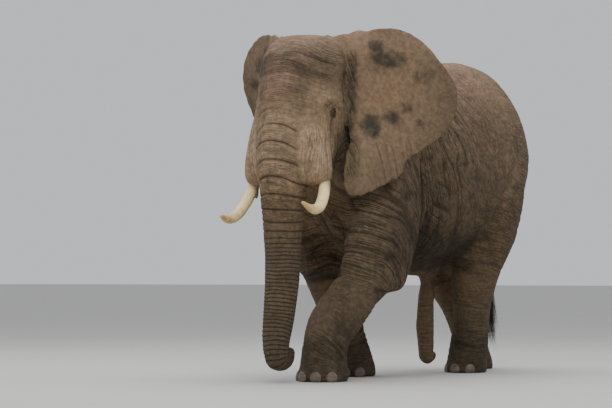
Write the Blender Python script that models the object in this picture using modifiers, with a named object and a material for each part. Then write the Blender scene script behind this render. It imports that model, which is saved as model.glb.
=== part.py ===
"""African bush elephant, an adult bull at a walk, as a still life-size model.

The bull faces -Y and its left side is +X. Its flesh is modelled whole, from lofts and rounded masses that
are fused and smoothed, and is then parted by thin plane cuts into the lengths a person would name. Ears,
lower jaw, tail, eyes and tusks are modelled on their own and trimmed where they grow out of the flesh.
"""

import math

import bmesh
import bpy
import numpy as np
from mathutils import Matrix, Vector

LEFT, RIGHT = 1, -1

# Driving dimensions, in metres
MODEL_NAME = "elephant"
WITHERS_HEIGHT = 3.20
HIP_HEIGHT = 3.20
SADDLE_HEIGHT = 3.07
BELLY_HEIGHT = 1.10
TORSO_HALF_WIDTH = 0.78
CROWN_HEIGHT = 3.27
HEAD_HALF_WIDTH = 0.40
EYE_HEIGHT = 2.51
EYE_RADIUS = 0.028
EYE_SINK = 0.45
EYE_DEPTH_ALONG = -1.60
TUSK_ROOT_HEIGHT = 1.83
TUSK_RADIUS = 0.054
EAR_THICKNESS = 0.034
EAR_RIM_THICKNESS = 0.014
EAR_ROOT_THICKNESS = 0.060
SOLE_RADIUS = 0.235
HIND_SOLE_RADIUS = 0.205
NAIL_RADII = (0.018, 0.052, 0.044)
NAIL_STEP = 36
NAIL_HEIGHT = 0.050

# The head turns a little to the left about the neck
NECK_PIVOT = Vector((0.0, -1.05, 0.0))
HEAD_TURN = math.radians(7.0)

# Upper and lower sweep of each ear in degrees, the levels they hold at, and how far its top curls back
EAR_CARRIAGE = {LEFT: (36, 36, (2.1, 3.0), 0.10), RIGHT: (31, 50, (2.4, 3.3), 0.02)}

# Making of the solids
GAP = 0.0003
TRIM_GAP = 0.0008
VOXEL = 0.026
SMOOTH_PASSES = 9
FLESH_FACES = 2700
SIDES = 40
STEPS = 6

HIDE = (0.155, 0.112, 0.086)
HIDE_DARK = (0.105, 0.078, 0.064)
IVORY = (0.66, 0.56, 0.40)
EYE_BROWN = (0.045, 0.024, 0.013)


def clear_scene():
    for item in list(bpy.data.objects):
        bpy.data.objects.remove(item, do_unlink=True)


def new_collection(name):
    group = bpy.data.collections.new(name)
    bpy.context.scene.collection.children.link(group)
    return group


def object_from(name, bm, group):
    mesh = bpy.data.meshes.new(name)
    bmesh.ops.recalc_face_normals(bm, faces=bm.faces)
    bmesh.ops.triangulate(bm, faces=bm.faces)
    bm.to_mesh(mesh)
    bm.free()
    made = bpy.data.objects.new(name, mesh)
    group.objects.link(made)
    return made


def evaluated_mesh(item):
    graph = bpy.context.evaluated_depsgraph_get()
    return bpy.data.meshes.new_from_object(item.evaluated_get(graph))


def bake_modifiers(item):
    """Replace the object's mesh by its evaluated one."""
    mesh = evaluated_mesh(item)
    item.modifiers.clear()
    item.data = mesh


def smooth_through(stations, steps=STEPS):
    """A Catmull-Rom curve through rows of numbers, with `steps` rows to a span."""
    rows = np.array(stations, float)
    padded = np.vstack([2 * rows[0] - rows[1], rows, 2 * rows[-1] - rows[-2]])
    fine = []
    for i in range(len(rows) - 1):
        a, b, c, d = padded[i : i + 4]
        for t in np.linspace(0, 1, steps, endpoint=False):
            bend = 2 * a - 5 * b + 4 * c - d
            fine.append(0.5 * (2 * b + (c - a) * t + bend * t**2 + (3 * b - a - 3 * c + d) * t**3))
    fine.append(rows[-1])
    return np.array(fine)


def skin_rings(name, rings, group):
    """Close a row of rings, each an array of points, into one solid with fanned ends."""
    bm = bmesh.new()
    loops = [[bm.verts.new(p) for p in ring] for ring in rings]
    count = len(loops[0])
    for low, high in zip(loops, loops[1:]):
        for i in range(count):
            j = (i + 1) % count
            bm.faces.new((low[i], low[j], high[j], high[i]))
    for loop, points in ((loops[0], rings[0]), (loops[-1], rings[-1])):
        hub = bm.verts.new(np.mean(points, axis=0))
        for i in range(count):
            bm.faces.new((loop[i], loop[(i + 1) % count], hub))
    return object_from(name, bm, group)


def limb(name, stations, group, sides=SIDES, steps=STEPS):
    """An oval tube. Each station is x, y, z, half width across the body and half depth."""
    rows = smooth_through(stations, steps)
    along = np.gradient(rows[:, :3], axis=0)
    rings = []
    for (x, y, z, half_width, half_depth), way in zip(rows, along):
        way = Vector(way).normalized()
        across = (Vector((1, 0, 0)) - way * way.x).normalized()
        deep = way.cross(across)
        ring = []
        for angle in np.linspace(0, math.tau, sides, endpoint=False):
            side = across * (half_width * math.cos(angle))
            ring.append(Vector((x, y, z)) + side + deep * (half_depth * math.sin(angle)))
        rings.append(np.array(ring))
    return skin_rings(name, rings, group)


def barrel(name, stations, group, ridge=1.12):
    """A trunk of upright sections. Each station is y, top, bottom, half width and height of the widest."""
    rings = []
    for y, top, bottom, half_width, widest in smooth_through(stations):
        ring = []
        for angle in np.linspace(0, math.tau, SIDES, endpoint=False):
            rise = math.sin(angle)
            reach = top - widest if rise > 0 else widest - bottom
            lift = math.copysign(abs(rise) ** (ridge if rise > 0 else 1.0), rise)
            ring.append((half_width * math.cos(angle), y, widest + reach * lift))
        rings.append(np.array(ring))
    return skin_rings(name, rings, group)


def skull(name, stations, group, egg=0.20):
    """Level sections, broader behind. Each station is z, front y, back y and half width."""
    rings = []
    for z, front, back, half_width in smooth_through(stations):
        middle, half_length = (front + back) / 2, (back - front) / 2
        ring = []
        for angle in np.linspace(0, math.tau, SIDES, endpoint=False):
            rear = math.sin(angle)
            width = half_width * math.cos(angle) * (1 + egg * rear)
            ring.append((width, middle + half_length * rear, z))
        rings.append(np.array(ring))
    return skin_rings(name, rings, group)


def tilted(angles):
    """A turn about X, then Y, then Z."""
    about_x, about_y, about_z = (Matrix.Rotation(angle, 4, axis) for angle, axis in zip(angles, "XYZ"))
    return about_z @ about_y @ about_x


def mass(name, centre, radii, group, tilt=(0, 0, 0), fine=24):
    """A rounded mass of muscle, fat or bone."""
    bm = bmesh.new()
    bmesh.ops.create_uvsphere(bm, u_segments=fine, v_segments=2 * fine // 3, radius=1.0)
    made = object_from(name, bm, group)
    made.data.transform(Matrix.Translation(centre) @ tilted(tilt) @ Matrix.Diagonal((*radii, 1.0)))
    return made


def head_swing():
    """The turn of the head about the neck."""
    there = Matrix.Translation(NECK_PIVOT)
    return there @ Matrix.Rotation(HEAD_TURN, 4, "Z") @ there.inverted()


def turn_head(item):
    item.data.transform(head_swing())
    return item


def fuse(name, pieces, group, voxel=VOXEL, passes=SMOOTH_PASSES, faces=FLESH_FACES):
    """Melt overlapping solids into one smooth skin of about `faces` triangles."""
    bm = bmesh.new()
    for piece in pieces:
        bm.from_mesh(piece.data)
        bpy.data.objects.remove(piece, do_unlink=True)
    whole = object_from(name, bm, group)
    melt = whole.modifiers.new("Melt", "REMESH")
    melt.mode = "VOXEL"
    melt.voxel_size = voxel
    calm = whole.modifiers.new("Calm", "SMOOTH")
    calm.iterations = passes
    bake_modifiers(whole)
    thin = whole.modifiers.new("Thin", "DECIMATE")
    thin.ratio = min(1.0, faces / (2 * len(whole.data.polygons)))
    bake_modifiers(whole)
    return whole


def carve(item, cutter, operation):
    """Boolean a solid by another and keep its largest body."""
    cut = item.modifiers.new("Carve", "BOOLEAN")
    cut.operation = operation
    cut.object = cutter
    bake_modifiers(item)
    keep_largest(item)


def keep_largest(item):
    bm = bmesh.new()
    bm.from_mesh(item.data)
    bmesh.ops.remove_doubles(bm, verts=bm.verts, dist=1e-6)
    waiting = set(bm.verts)
    bodies = []
    while waiting:
        body = {waiting.pop()}
        edge = list(body)
        while edge:
            for link in edge.pop().link_edges:
                for vert in link.verts:
                    if vert in waiting:
                        waiting.discard(vert)
                        body.add(vert)
                        edge.append(vert)
        bodies.append(body)
    bodies.sort(key=len)
    for body in bodies[:-1]:
        bmesh.ops.delete(bm, geom=list(body), context="VERTS")
    bmesh.ops.triangulate(bm, faces=bm.faces)
    bm.to_mesh(item.data)
    bm.free()


def block(name, size, centre, tilt, group, grow=0.0):
    """A box-shaped cutter, tilted about X, Y and Z."""
    bm = bmesh.new()
    bmesh.ops.create_cube(bm, size=1.0)
    made = object_from(name, bm, group)
    sides = [length + 2 * grow for length in size]
    made.data.transform(Matrix.Translation(centre) @ tilted(tilt) @ Matrix.Diagonal((*sides, 1.0)))
    made.hide_render = True
    made.display_type = "WIRE"
    return made


def swollen(item, name, group, amount=TRIM_GAP):
    """A copy of a solid grown by the gap that its neighbours keep to it."""
    copy = bpy.data.objects.new(name, item.data.copy())
    group.objects.link(copy)
    copy.hide_render = True
    copy.display_type = "WIRE"
    bm = bmesh.new()
    bm.from_mesh(copy.data)
    for vert in bm.verts:
        vert.co += vert.normal * amount * vert.calc_shell_factor()
    bm.to_mesh(copy.data)
    bm.free()
    return copy


# ---------------------------------------------------------------- the flesh


def torso_pieces(group):
    top, hip, dip, belly = WITHERS_HEIGHT, HIP_HEIGHT, SADDLE_HEIGHT, BELLY_HEIGHT
    wide = TORSO_HALF_WIDTH
    body = barrel(
        "body_loft",
        [
            (-1.62, 2.95, 2.15, 0.28, 2.55),
            (-1.45, top - 0.10, 1.98, 0.36, 2.55),
            (-1.20, top - 0.04, 1.62, 0.45, 2.40),
            (-0.95, top - 0.01, 1.36, 0.56, 2.25),
            (-0.60, top, 1.22, wide - 0.09, 2.10),
            (-0.20, dip + 0.05, belly + 0.07, wide - 0.03, 2.00),
            (0.20, dip, belly, wide, 1.95),
            (0.62, dip + 0.03, belly, wide, 1.95),
            (1.00, hip - 0.01, belly + 0.06, wide - 0.02, 2.00),
            (1.32, hip, belly + 0.18, wide - 0.06, 2.10),
            (1.58, hip - 0.10, 1.40, 0.65, 2.20),
            (1.80, hip - 0.32, 1.65, 0.53, 2.20),
            (1.96, 2.54, 1.90, 0.33, 2.20),
            (2.02, 2.34, 2.05, 0.12, 2.20),
        ],
        group,
    )
    pieces = [body]
    for side in (LEFT, RIGHT):
        pieces.append(mass("shoulder", (side * 0.43, -0.74, 2.08), (0.28, 0.40, 0.72), group, (0.15, 0, 0)))
        pieces.append(mass("hip", (side * 0.42, 1.22, 2.10), (0.31, 0.52, 0.78), group, (-0.1, 0, 0)))
    pieces.append(mass("sheath", (0, 0.44, belly + 0.02), (0.15, 0.44, 0.13), group))
    return pieces


def head_pieces(group):
    crown, wide = CROWN_HEIGHT, HEAD_HALF_WIDTH
    cap = skull(
        "skull_loft",
        [
            (crown, -1.60, -1.40, 0.14),
            (crown - 0.03, -1.72, -1.28, 0.27),
            (crown - 0.13, -1.86, -1.18, wide - 0.04),
            (crown - 0.30, -1.96, -1.14, wide + 0.01),
            (2.72, -2.03, -1.13, wide + 0.01),
            (EYE_HEIGHT, -2.07, -1.14, wide - 0.02),
            (2.30, -2.11, -1.17, wide - 0.03),
            (2.10, -2.11, -1.24, 0.35),
            (1.95, -2.09, -1.42, 0.28),
            (1.86, -2.07, -1.62, 0.22),
        ],
        group,
    )
    pieces = [cap]
    for side in (LEFT, RIGHT):
        pieces.append(mass("cheek", (side * 0.26, -1.43, 2.42), (0.14, 0.27, 0.23), group))
        pieces.append(mass("brow", (side * 0.245, -1.66, 2.61), (0.145, 0.24, 0.12), group, (0.35, 0, 0)))
        pieces.append(limb("sheath_loft", sheath_stations(side), group, 24))
    return [turn_head(piece) for piece in pieces]


def sheath_stations(side):
    """The bulge of lip round each tusk's root."""
    low = TUSK_ROOT_HEIGHT
    return [
        (side * 0.19, -1.76, low + 0.74, 0.13, 0.16),
        (side * 0.235, -1.77, low + 0.50, 0.145, 0.19),
        (side * 0.29, -1.78, low + 0.26, 0.14, 0.18),
        (side * 0.34, -1.78, low + 0.08, 0.125, 0.14),
        (side * 0.365, -1.78, low - 0.01, 0.08, 0.09),
    ]


def trunk_stations():
    return [
        (0, -1.78, 2.50, 0.26, 0.26),
        (0, -1.84, 2.20, 0.260, 0.28),
        (0, -1.87, 1.88, 0.230, 0.245),
        (0, -1.88, 1.55, 0.192, 0.205),
        (0, -1.88, 1.20, 0.170, 0.180),
        (0, -1.90, 0.90, 0.162, 0.168),
        (0, -1.96, 0.60, 0.148, 0.155),
        (0, -2.01, 0.38, 0.130, 0.132),
        (0, -1.99, 0.225, 0.115, 0.110),
        (0, -1.885, 0.195, 0.098, 0.090),
        (0, -1.80, 0.245, 0.083, 0.078),
        (0, -1.77, 0.33, 0.066, 0.064),
    ]


def foreleg_reaching():
    """Left foreleg: the elbow is bent and the foot is set down well ahead."""
    sole = SOLE_RADIUS
    return [
        (0.44, -0.78, 2.30, 0.22, 0.36),
        (0.49, -0.77, 1.90, 0.28, 0.40),
        (0.50, -0.78, 1.50, 0.29, 0.39),
        (0.47, -0.81, 1.22, 0.28, 0.37),
        (0.42, -0.90, 1.00, 0.26, 0.34),
        (0.36, -1.06, 0.80, 0.240, 0.29),
        (0.30, -1.23, 0.62, 0.225, 0.265),
        (0.25, -1.36, 0.42, 0.212, 0.235),
        (0.23, -1.40, 0.22, 0.215, 0.23),
        (0.22, -1.40, 0.05, sole, sole + 0.01),
        (0.22, -1.40, -0.08, sole, sole + 0.01),
    ]


def foreleg_bearing():
    """Right foreleg: straight, under the weight, and slanting back."""
    sole = SOLE_RADIUS
    return [
        (-0.44, -0.78, 2.30, 0.22, 0.36),
        (-0.48, -0.75, 1.90, 0.27, 0.39),
        (-0.47, -0.70, 1.55, 0.27, 0.36),
        (-0.43, -0.62, 1.25, 0.245, 0.31),
        (-0.36, -0.53, 0.98, 0.215, 0.26),
        (-0.30, -0.45, 0.65, 0.195, 0.215),
        (-0.25, -0.38, 0.32, 0.20, 0.21),
        (-0.22, -0.34, 0.05, sole, sole + 0.01),
        (-0.22, -0.34, -0.08, sole, sole + 0.01),
    ]


def hind_leg_bearing():
    """Left hind leg: upright under the hip."""
    sole = HIND_SOLE_RADIUS
    return [
        (0.42, 1.17, 2.30, 0.30, 0.48),
        (0.44, 1.16, 1.90, 0.31, 0.50),
        (0.42, 1.12, 1.50, 0.29, 0.43),
        (0.37, 1.07, 1.20, 0.255, 0.34),
        (0.31, 1.06, 0.90, 0.22, 0.255),
        (0.265, 1.09, 0.60, 0.19, 0.205),
        (0.24, 1.08, 0.30, 0.19, 0.205),
        (0.22, 1.06, 0.05, sole, sole + 0.03),
        (0.22, 1.06, -0.08, sole, sole + 0.03),
    ]


def hind_leg_pushing():
    """Right hind leg: stretched back at the end of its stride."""
    sole = HIND_SOLE_RADIUS
    return [
        (-0.42, 1.22, 2.30, 0.30, 0.46),
        (-0.43, 1.27, 1.90, 0.30, 0.46),
        (-0.42, 1.34, 1.52, 0.275, 0.38),
        (-0.37, 1.43, 1.20, 0.24, 0.30),
        (-0.32, 1.57, 0.90, 0.205, 0.235),
        (-0.28, 1.74, 0.60, 0.18, 0.195),
        (-0.25, 1.85, 0.30, 0.185, 0.195),
        (-0.25, 1.91, 0.05, sole, sole + 0.03),
        (-0.25, 1.91, -0.08, sole, sole + 0.03),
    ]


def penis_stations():
    return [
        (0.0, 0.62, 1.16, 0.13, 0.16),
        (0.0, 0.73, 0.98, 0.110, 0.125),
        (0.0, 0.70, 0.78, 0.098, 0.110),
        (0.0, 0.655, 0.55, 0.093, 0.104),
        (0.0, 0.655, 0.33, 0.090, 0.100),
        (0.0, 0.675, 0.16, 0.078, 0.085),
        (0.0, 0.69, 0.085, 0.045, 0.050),
    ]


def make_flesh(group):
    pieces = torso_pieces(group) + head_pieces(group)
    pieces.append(turn_head(limb("trunk_loft", trunk_stations(), group)))
    for stations in (foreleg_reaching(), foreleg_bearing(), hind_leg_bearing(), hind_leg_pushing()):
        pieces.append(limb("leg_loft", stations, group))
    pieces.append(limb("penis_loft", penis_stations(), group, 24))
    return fuse("flesh", pieces, group)


# ---------------------------------------------------------------- what grows out of the flesh

# The ear's outline in its own plane: distance out from the root, and height. The root lies inside the head.
EAR_OUTLINE = [
    (-0.20, 2.92),
    (-0.19, 3.26),
    (0.16, 3.34),
    (0.44, 3.36),
    (0.64, 3.27),
    (0.84, 3.04),
    (1.00, 2.78),
    (0.99, 2.52),
    (0.84, 2.28),
    (0.58, 2.12),
    (0.47, 2.03),
    (0.46, 1.93),
    (0.24, 1.81),
    (0.02, 1.71),
    (-0.11, 1.77),
    (-0.10, 2.05),
    (-0.02, 2.38),
    (-0.12, 2.62),
]
EAR_ROOT = (0.42, -1.30)
EAR_HUB = (0.38, 2.62)
EAR_RINGS = 4
EAR_SPOKES = 2


def ease(value, low, high):
    """0 below `low`, 1 above `high`, and a smooth rise between."""
    t = min(1.0, max(0.0, (value - low) / (high - low)))
    return t * t * (3 - 2 * t)


def ear_point(side, out, height, depth):
    """Place a point of the ear's plane. `depth` is how far it lies before the ear's middle surface."""
    sweep_high, sweep_low, levels, curl = EAR_CARRIAGE[side]
    sweep = math.radians(sweep_low + (sweep_high - sweep_low) * ease(height, *levels))
    lobe = 0.19 * ease(-height, -2.55, -1.95) * (1 - ease(out, 0.2, 0.9))
    dish = -0.05 * math.sin(math.pi * ease(out, 0.0, 1.0)) + 0.05 * ease(out, 0.75, 1.05)
    fold = -curl * ease(height, 3.10, 3.38)
    front = lobe + dish + fold + depth
    x = EAR_ROOT[0] + out * math.cos(sweep) + front * math.sin(sweep)
    y = EAR_ROOT[1] + out * math.sin(sweep) - front * math.cos(sweep)
    return (side * x, y, height)


def ear_half_thickness(share, out):
    """Thickest by the root and thinning to the rim, where `share` is 1."""
    middle = EAR_ROOT_THICKNESS + (EAR_THICKNESS - EAR_ROOT_THICKNESS) * ease(out, -0.05, 0.35)
    return (middle + (EAR_RIM_THICKNESS - middle) * share**2) / 2


def make_ear(name, side, group):
    """A leaf that thins to its rim, dished, with the lower lobe hanging forward."""
    ring = np.array(EAR_OUTLINE)
    closed = np.vstack([ring[-1], ring, ring[0], ring[1]])
    rim = smooth_through(closed, EAR_SPOKES)[EAR_SPOKES : -EAR_SPOKES * 2]
    hub = np.array(EAR_HUB)
    bm = bmesh.new()
    count = len(rim)
    faces_of = []
    for face in (1, -1):
        loops = []
        for step in range(1, EAR_RINGS):
            share = step / EAR_RINGS
            loop = []
            for point in rim:
                out, height = hub + (point - hub) * share
                depth = face * ear_half_thickness(share, out)
                loop.append(bm.verts.new(ear_point(side, out, height, depth)))
            loops.append(loop)
        faces_of.append(loops)
    edge = [bm.verts.new(ear_point(side, out, height, 0.0)) for out, height in rim]
    for face, loops in zip((1, -1), faces_of):
        depth = face * ear_half_thickness(0, hub[0])
        middle = bm.verts.new(ear_point(side, *hub, depth))
        rows = loops + [edge]
        for i in range(count):
            j = (i + 1) % count
            bm.faces.new((rows[0][i], rows[0][j], middle))
            for low, high in zip(rows, rows[1:]):
                bm.faces.new((low[i], high[i], high[j], low[j]))
    return turn_head(object_from(name, bm, group))


def tusk_stations(side, reach, drop, rise):
    """From inside the sheath, down and forward, with the tip turned up by `rise`."""
    x, y, z, r = 0.385, -1.765, TUSK_ROOT_HEIGHT, TUSK_RADIUS
    rows = [
        (-0.03, -0.02, 0.14, 0.80),
        (0.0, 0.0, 0.0, 1.0),
        (0.18, 0.03, -0.50 * drop, 1.0),
        (0.42, 0.055, -0.90 * drop, 0.96),
        (0.68, 0.06, -drop, 0.86),
        (0.87, 0.045, 0.40 * rise - drop, 0.72),
        (0.97, 0.03, 0.85 * rise - drop, 0.52),
        (1.00, 0.025, rise - drop, 0.20),
    ]
    stations = []
    for share, out, up, size in rows:
        stations.append((side * (x + out), y - share * reach, z + up, r * size, r * size))
    return stations


def jaw_stations():
    return [
        (0, -1.24, 2.06, 0.22, 0.15),
        (0, -1.46, 1.95, 0.19, 0.13),
        (0, -1.62, 1.84, 0.12, 0.09),
        (0, -1.70, 1.77, 0.06, 0.05),
    ]


def tail_stations():
    return [
        (0.0, 1.86, 2.56, 0.095, 0.095),
        (0.0, 2.01, 2.42, 0.082, 0.082),
        (0.0, 2.075, 2.12, 0.062, 0.060),
        (0.0, 2.05, 1.75, 0.048, 0.046),
        (0.01, 1.96, 1.35, 0.040, 0.038),
        (0.02, 1.86, 0.98, 0.034, 0.032),
        (0.02, 1.80, 0.72, 0.029, 0.028),
    ]


def tuft_stations():
    return [
        (0.02, 1.80, 0.70, 0.028, 0.027),
        (0.02, 1.82, 0.55, 0.034, 0.040),
        (0.02, 1.87, 0.37, 0.030, 0.048),
        (0.02, 1.96, 0.24, 0.020, 0.036),
        (0.02, 2.03, 0.19, 0.008, 0.014),
    ]


# ---------------------------------------------------------------- parting the flesh

FOOT_TOP = 0.26
ELBOW_HEIGHT = 0.95
KNEE_HEIGHT = 0.98
LEG_SLOPE = math.radians(42)

# Where the head and neck end: centre of the block before the cut, and its backward tilt
HEAD_CUT = ((0.0, -2.325, 2.78), -0.12)
NECK_CUT = ((0.0, -2.03, 2.62), -0.19)
FRONT_BLOCK = (2.6, 2.0, 2.4)

# Number, lowest and highest level, and how far back the cut reaches
TRUNK_LENGTHS = [
    (4, -0.30, 0.42, -1.683),
    (3, 0.30, 0.85, -1.66),
    (2, 0.70, 1.30, -1.60),
    (1, 1.20, 1.79, -1.50),
]
FEET = {
    "fore_left": (0.22, -1.40),
    "fore_right": (-0.22, -0.34),
    "hind_left": (0.22, 1.06),
    "hind_right": (-0.25, 1.91),
}


def span_block(low, high):
    """Size and centre of an upright block between two corners."""
    return [h - l for l, h in zip(low, high)], [(h + l) / 2 for l, h in zip(low, high)]


def leg_blocks():
    """The upright blocks that hold each leg, foot first."""
    reach = {
        "fore_left": ((0.0, -1.683), (0.85, -0.30)),
        "fore_right": ((-0.85, -1.20), (0.0, 0.10)),
        "hind_left": ((0.0, 0.66), (0.85, 1.62)),
        "hind_right": ((-0.85, 0.95), (-0.03, 2.40)),
    }
    feet, shins = [], []
    for leg, (low, high) in reach.items():
        joint = ELBOW_HEIGHT if "fore" in leg else KNEE_HEIGHT
        kind, side = leg.split("_")
        x, y = FEET[leg]
        foot = span_block((x - 0.4, y - 0.283, -0.3), (x + 0.4, y + 0.4, FOOT_TOP))
        feet.append((f"{kind}foot_{side}", *foot, (0, 0, 0)))
        shin = span_block((*low, FOOT_TOP - 0.05), (*high, joint))
        shins.append((f"{kind}leg_{side}_lower", *shin, (0, 0, 0)))
    return feet + shins


def upper_leg_block(leg, front, back):
    """A slab under a plane that rises outward from the breast or groin to the flank."""
    kind, side = leg.split("_")
    sign = LEFT if side == "left" else RIGHT
    inner = Vector((sign * 0.10, 0, BELLY_HEIGHT + 0.04))
    out, down = 1.5, 1.2
    way = Vector((sign * math.cos(LEG_SLOPE), 0, math.sin(LEG_SLOPE)))
    under = Vector((sign * math.sin(LEG_SLOPE), 0, -math.cos(LEG_SLOPE)))
    centre = inner + way * (out / 2) + under * (down / 2)
    centre.y = (front + back) / 2
    return (f"{kind}leg_{side}_upper", (out, back - front, down), centre, (0, -sign * LEG_SLOPE, 0))


def blocks_in_order():
    """Name, size, centre and tilt of each cutting block, in the order they are taken."""
    blocks = []
    for number, low, high, back in TRUNK_LENGTHS:
        length = span_block((-0.5, -2.6, low), (0.6, back, high))
        blocks.append((f"trunk_{number}", *length, (0, 0, 0)))
    for name, (centre, tilt) in (("head", HEAD_CUT), ("neck", NECK_CUT)):
        blocks.append((name, FRONT_BLOCK, centre, (tilt, 0, 0)))
    blocks += leg_blocks()
    blocks.append(upper_leg_block("fore_left", -1.30, -0.34))
    blocks.append(upper_leg_block("fore_right", -1.30, -0.27))
    blocks.append(upper_leg_block("hind_left", 0.70, 1.80))
    blocks.append(upper_leg_block("hind_right", 0.94, 2.00))
    blocks.append(("penis", *span_block((-0.3, 0.35, -0.2), (0.3, 0.98, 0.99)), (0, 0, 0)))
    return blocks


def part_flesh(flesh, group, guides):
    """Cut the flesh along each block, leaving the gap, and return the pieces by name."""
    floor = block("floor", (6, 8, 1), (0, 0, -0.5), (0, 0, 0), guides)
    carve(flesh, floor, "DIFFERENCE")
    parted = {}
    for name, size, centre, tilt in blocks_in_order():
        inside = block("inside", size, centre, tilt, guides)
        outside = block("outside", size, centre, tilt, guides, GAP)
        piece = bpy.data.objects.new(name, flesh.data.copy())
        group.objects.link(piece)
        carve(piece, inside, "INTERSECT")
        carve(flesh, outside, "DIFFERENCE")
        parted[name] = piece
        for cutter in (inside, outside):
            bpy.data.objects.remove(cutter, do_unlink=True)
    flesh.name = "torso"
    parted["torso"] = flesh
    return parted


def add_toenails(foot, place, radius, count, group):
    """Blunt nails round the front of the sole, grown onto the foot."""
    x, y = place
    for i in range(count):
        angle = math.radians(-90 + (i - (count - 1) / 2) * NAIL_STEP)
        spot = (x + radius * math.cos(angle), y + (radius + 0.01) * math.sin(angle), NAIL_HEIGHT)
        nail = mass("nail", spot, NAIL_RADII, group, (0, 0, angle), 6)
        carve(foot, nail, "UNION")
        bpy.data.objects.remove(nail, do_unlink=True)


def set_eye(name, side, flesh, group):
    """A ball sunk in the side of the head so that a shallow cap of it shows."""
    turn = head_swing()
    start = turn @ Vector((side * 3 * HEAD_HALF_WIDTH, EYE_DEPTH_ALONG, EYE_HEIGHT))
    aim = turn.to_3x3() @ Vector((-side, 0.0, 0.0))
    hit, spot, normal, _ = flesh.ray_cast(start, aim)
    if not hit:
        raise RuntimeError("the eye has no head to sit in")
    return mass(name, spot - normal * EYE_RADIUS * EYE_SINK, (EYE_RADIUS,) * 3, group, fine=10)


def colour(item, name, tint, roughness):
    finish = bpy.data.materials.new(name)
    finish.use_nodes = True
    shader = finish.node_tree.nodes["Principled BSDF"]
    shader.inputs["Base Color"].default_value = (*tint, 1.0)
    shader.inputs["Roughness"].default_value = roughness
    shader.inputs["Metallic"].default_value = 0.0
    item.data.materials.clear()
    item.data.materials.append(finish)
    item.data.set_sharp_from_angle(angle=math.radians(60))


def finish_piece(item):
    """Its own material, by what the piece is."""
    if item.name.startswith("tusk"):
        colour(item, f"{item.name}_ivory", IVORY, 0.35)
    elif item.name.startswith("eye"):
        colour(item, f"{item.name}_ball", EYE_BROWN, 0.08)
    elif item.name in ("tail_tuft", "penis") or "foot" in item.name:
        colour(item, f"{item.name}_dark_hide", HIDE_DARK, 0.8)
    else:
        colour(item, f"{item.name}_hide", HIDE, 0.8)


def centre_model(pieces):
    """Stand the model on its own origin, under the middle of its box."""
    corners = np.array([piece.matrix_world @ Vector(c) for piece in pieces for c in piece.bound_box])
    low, high = corners.min(axis=0), corners.max(axis=0)
    offset = Vector((-(low[0] + high[0]) / 2, -(low[1] + high[1]) / 2, -low[2]))
    for piece in pieces:
        piece.data.transform(Matrix.Translation(offset))
    return offset


def main():
    clear_scene()
    shown = new_collection(MODEL_NAME)
    guides = new_collection("cutters")
    flesh = make_flesh(shown)

    ears = [make_ear("ear_left", LEFT, shown), make_ear("ear_right", RIGHT, shown)]
    tusks = [
        turn_head(limb("tusk_left", tusk_stations(LEFT, 0.47, 0.235, 0.07), shown, 10, 2)),
        turn_head(limb("tusk_right", tusk_stations(RIGHT, 0.54, 0.315, 0.03), shown, 10, 2)),
    ]
    eyes = [set_eye("eye_left", LEFT, flesh, shown), set_eye("eye_right", RIGHT, flesh, shown)]
    jaw = turn_head(limb("lower_jaw", jaw_stations(), shown, 12, 2))
    tail = limb("tail", tail_stations(), shown, 8, 2)
    tuft = limb("tail_tuft", tuft_stations(), shown, 8, 2)

    core = swollen(flesh, "core", guides)
    for piece in (*ears, jaw, tail):
        carve(piece, core, "DIFFERENCE")
    parted = part_flesh(flesh, shown, guides)
    for piece in (*tusks, *eyes):
        socket = swollen(piece, "socket", guides)
        carve(parted["head"], socket, "DIFFERENCE")
    carve(tuft, swollen(tail, "tail_core", guides), "DIFFERENCE")
    for leg, place in FEET.items():
        kind, side = leg.split("_")
        fore = kind == "fore"
        radius = SOLE_RADIUS if fore else HIND_SOLE_RADIUS
        add_toenails(parted[f"{kind}foot_{side}"], place, radius, 4 if fore else 3, guides)

    pieces = [*parted.values(), *ears, *tusks, *eyes, jaw, tail, tuft]
    for piece in pieces:
        finish_piece(piece)
    return centre_model(pieces)


if __name__ == "__main__":
    main()
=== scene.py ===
import itertools
import math

import bmesh
import bpy
import numpy as np
from bpy.props import FloatProperty, FloatVectorProperty, IntProperty, PointerProperty
from mathutils import Matrix, Vector
from mathutils.bvhtree import BVHTree


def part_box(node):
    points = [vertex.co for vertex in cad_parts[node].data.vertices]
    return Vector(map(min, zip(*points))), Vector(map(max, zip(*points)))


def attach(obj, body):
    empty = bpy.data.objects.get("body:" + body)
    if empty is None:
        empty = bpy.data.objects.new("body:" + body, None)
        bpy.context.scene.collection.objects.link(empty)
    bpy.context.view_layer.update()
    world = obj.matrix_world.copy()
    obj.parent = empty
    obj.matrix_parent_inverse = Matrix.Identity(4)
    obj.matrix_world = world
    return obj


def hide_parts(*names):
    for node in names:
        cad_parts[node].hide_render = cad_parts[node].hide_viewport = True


bl_info = {
    "name": "Bush elephant bull",
    "version": (1, 0, 0),
    "blender": (4, 5, 0),
    "location": "3D View > Sidebar > Elephant",
    "description": "A walking bush elephant's skin, tusks, eyes, toenails and tail hair",
    "category": "Object",
}

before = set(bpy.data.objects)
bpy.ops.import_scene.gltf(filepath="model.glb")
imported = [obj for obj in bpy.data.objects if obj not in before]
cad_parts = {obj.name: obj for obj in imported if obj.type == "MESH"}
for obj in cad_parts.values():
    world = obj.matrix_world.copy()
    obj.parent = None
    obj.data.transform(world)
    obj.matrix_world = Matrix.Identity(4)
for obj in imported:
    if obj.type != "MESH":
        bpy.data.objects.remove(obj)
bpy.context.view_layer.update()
SIDES = {"left": 1, "right": -1}

TRUNK = ["trunk_1", "trunk_2", "trunk_3", "trunk_4"]
LEGS = ["foreleg_left", "foreleg_right", "hindleg_left", "hindleg_right"]
FLESH = ["torso", "neck", "head", "lower_jaw", "penis", *TRUNK]
for leg in LEGS:
    FLESH += [f"{leg}_upper", f"{leg}_lower", leg.replace("leg", "foot")]


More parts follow.
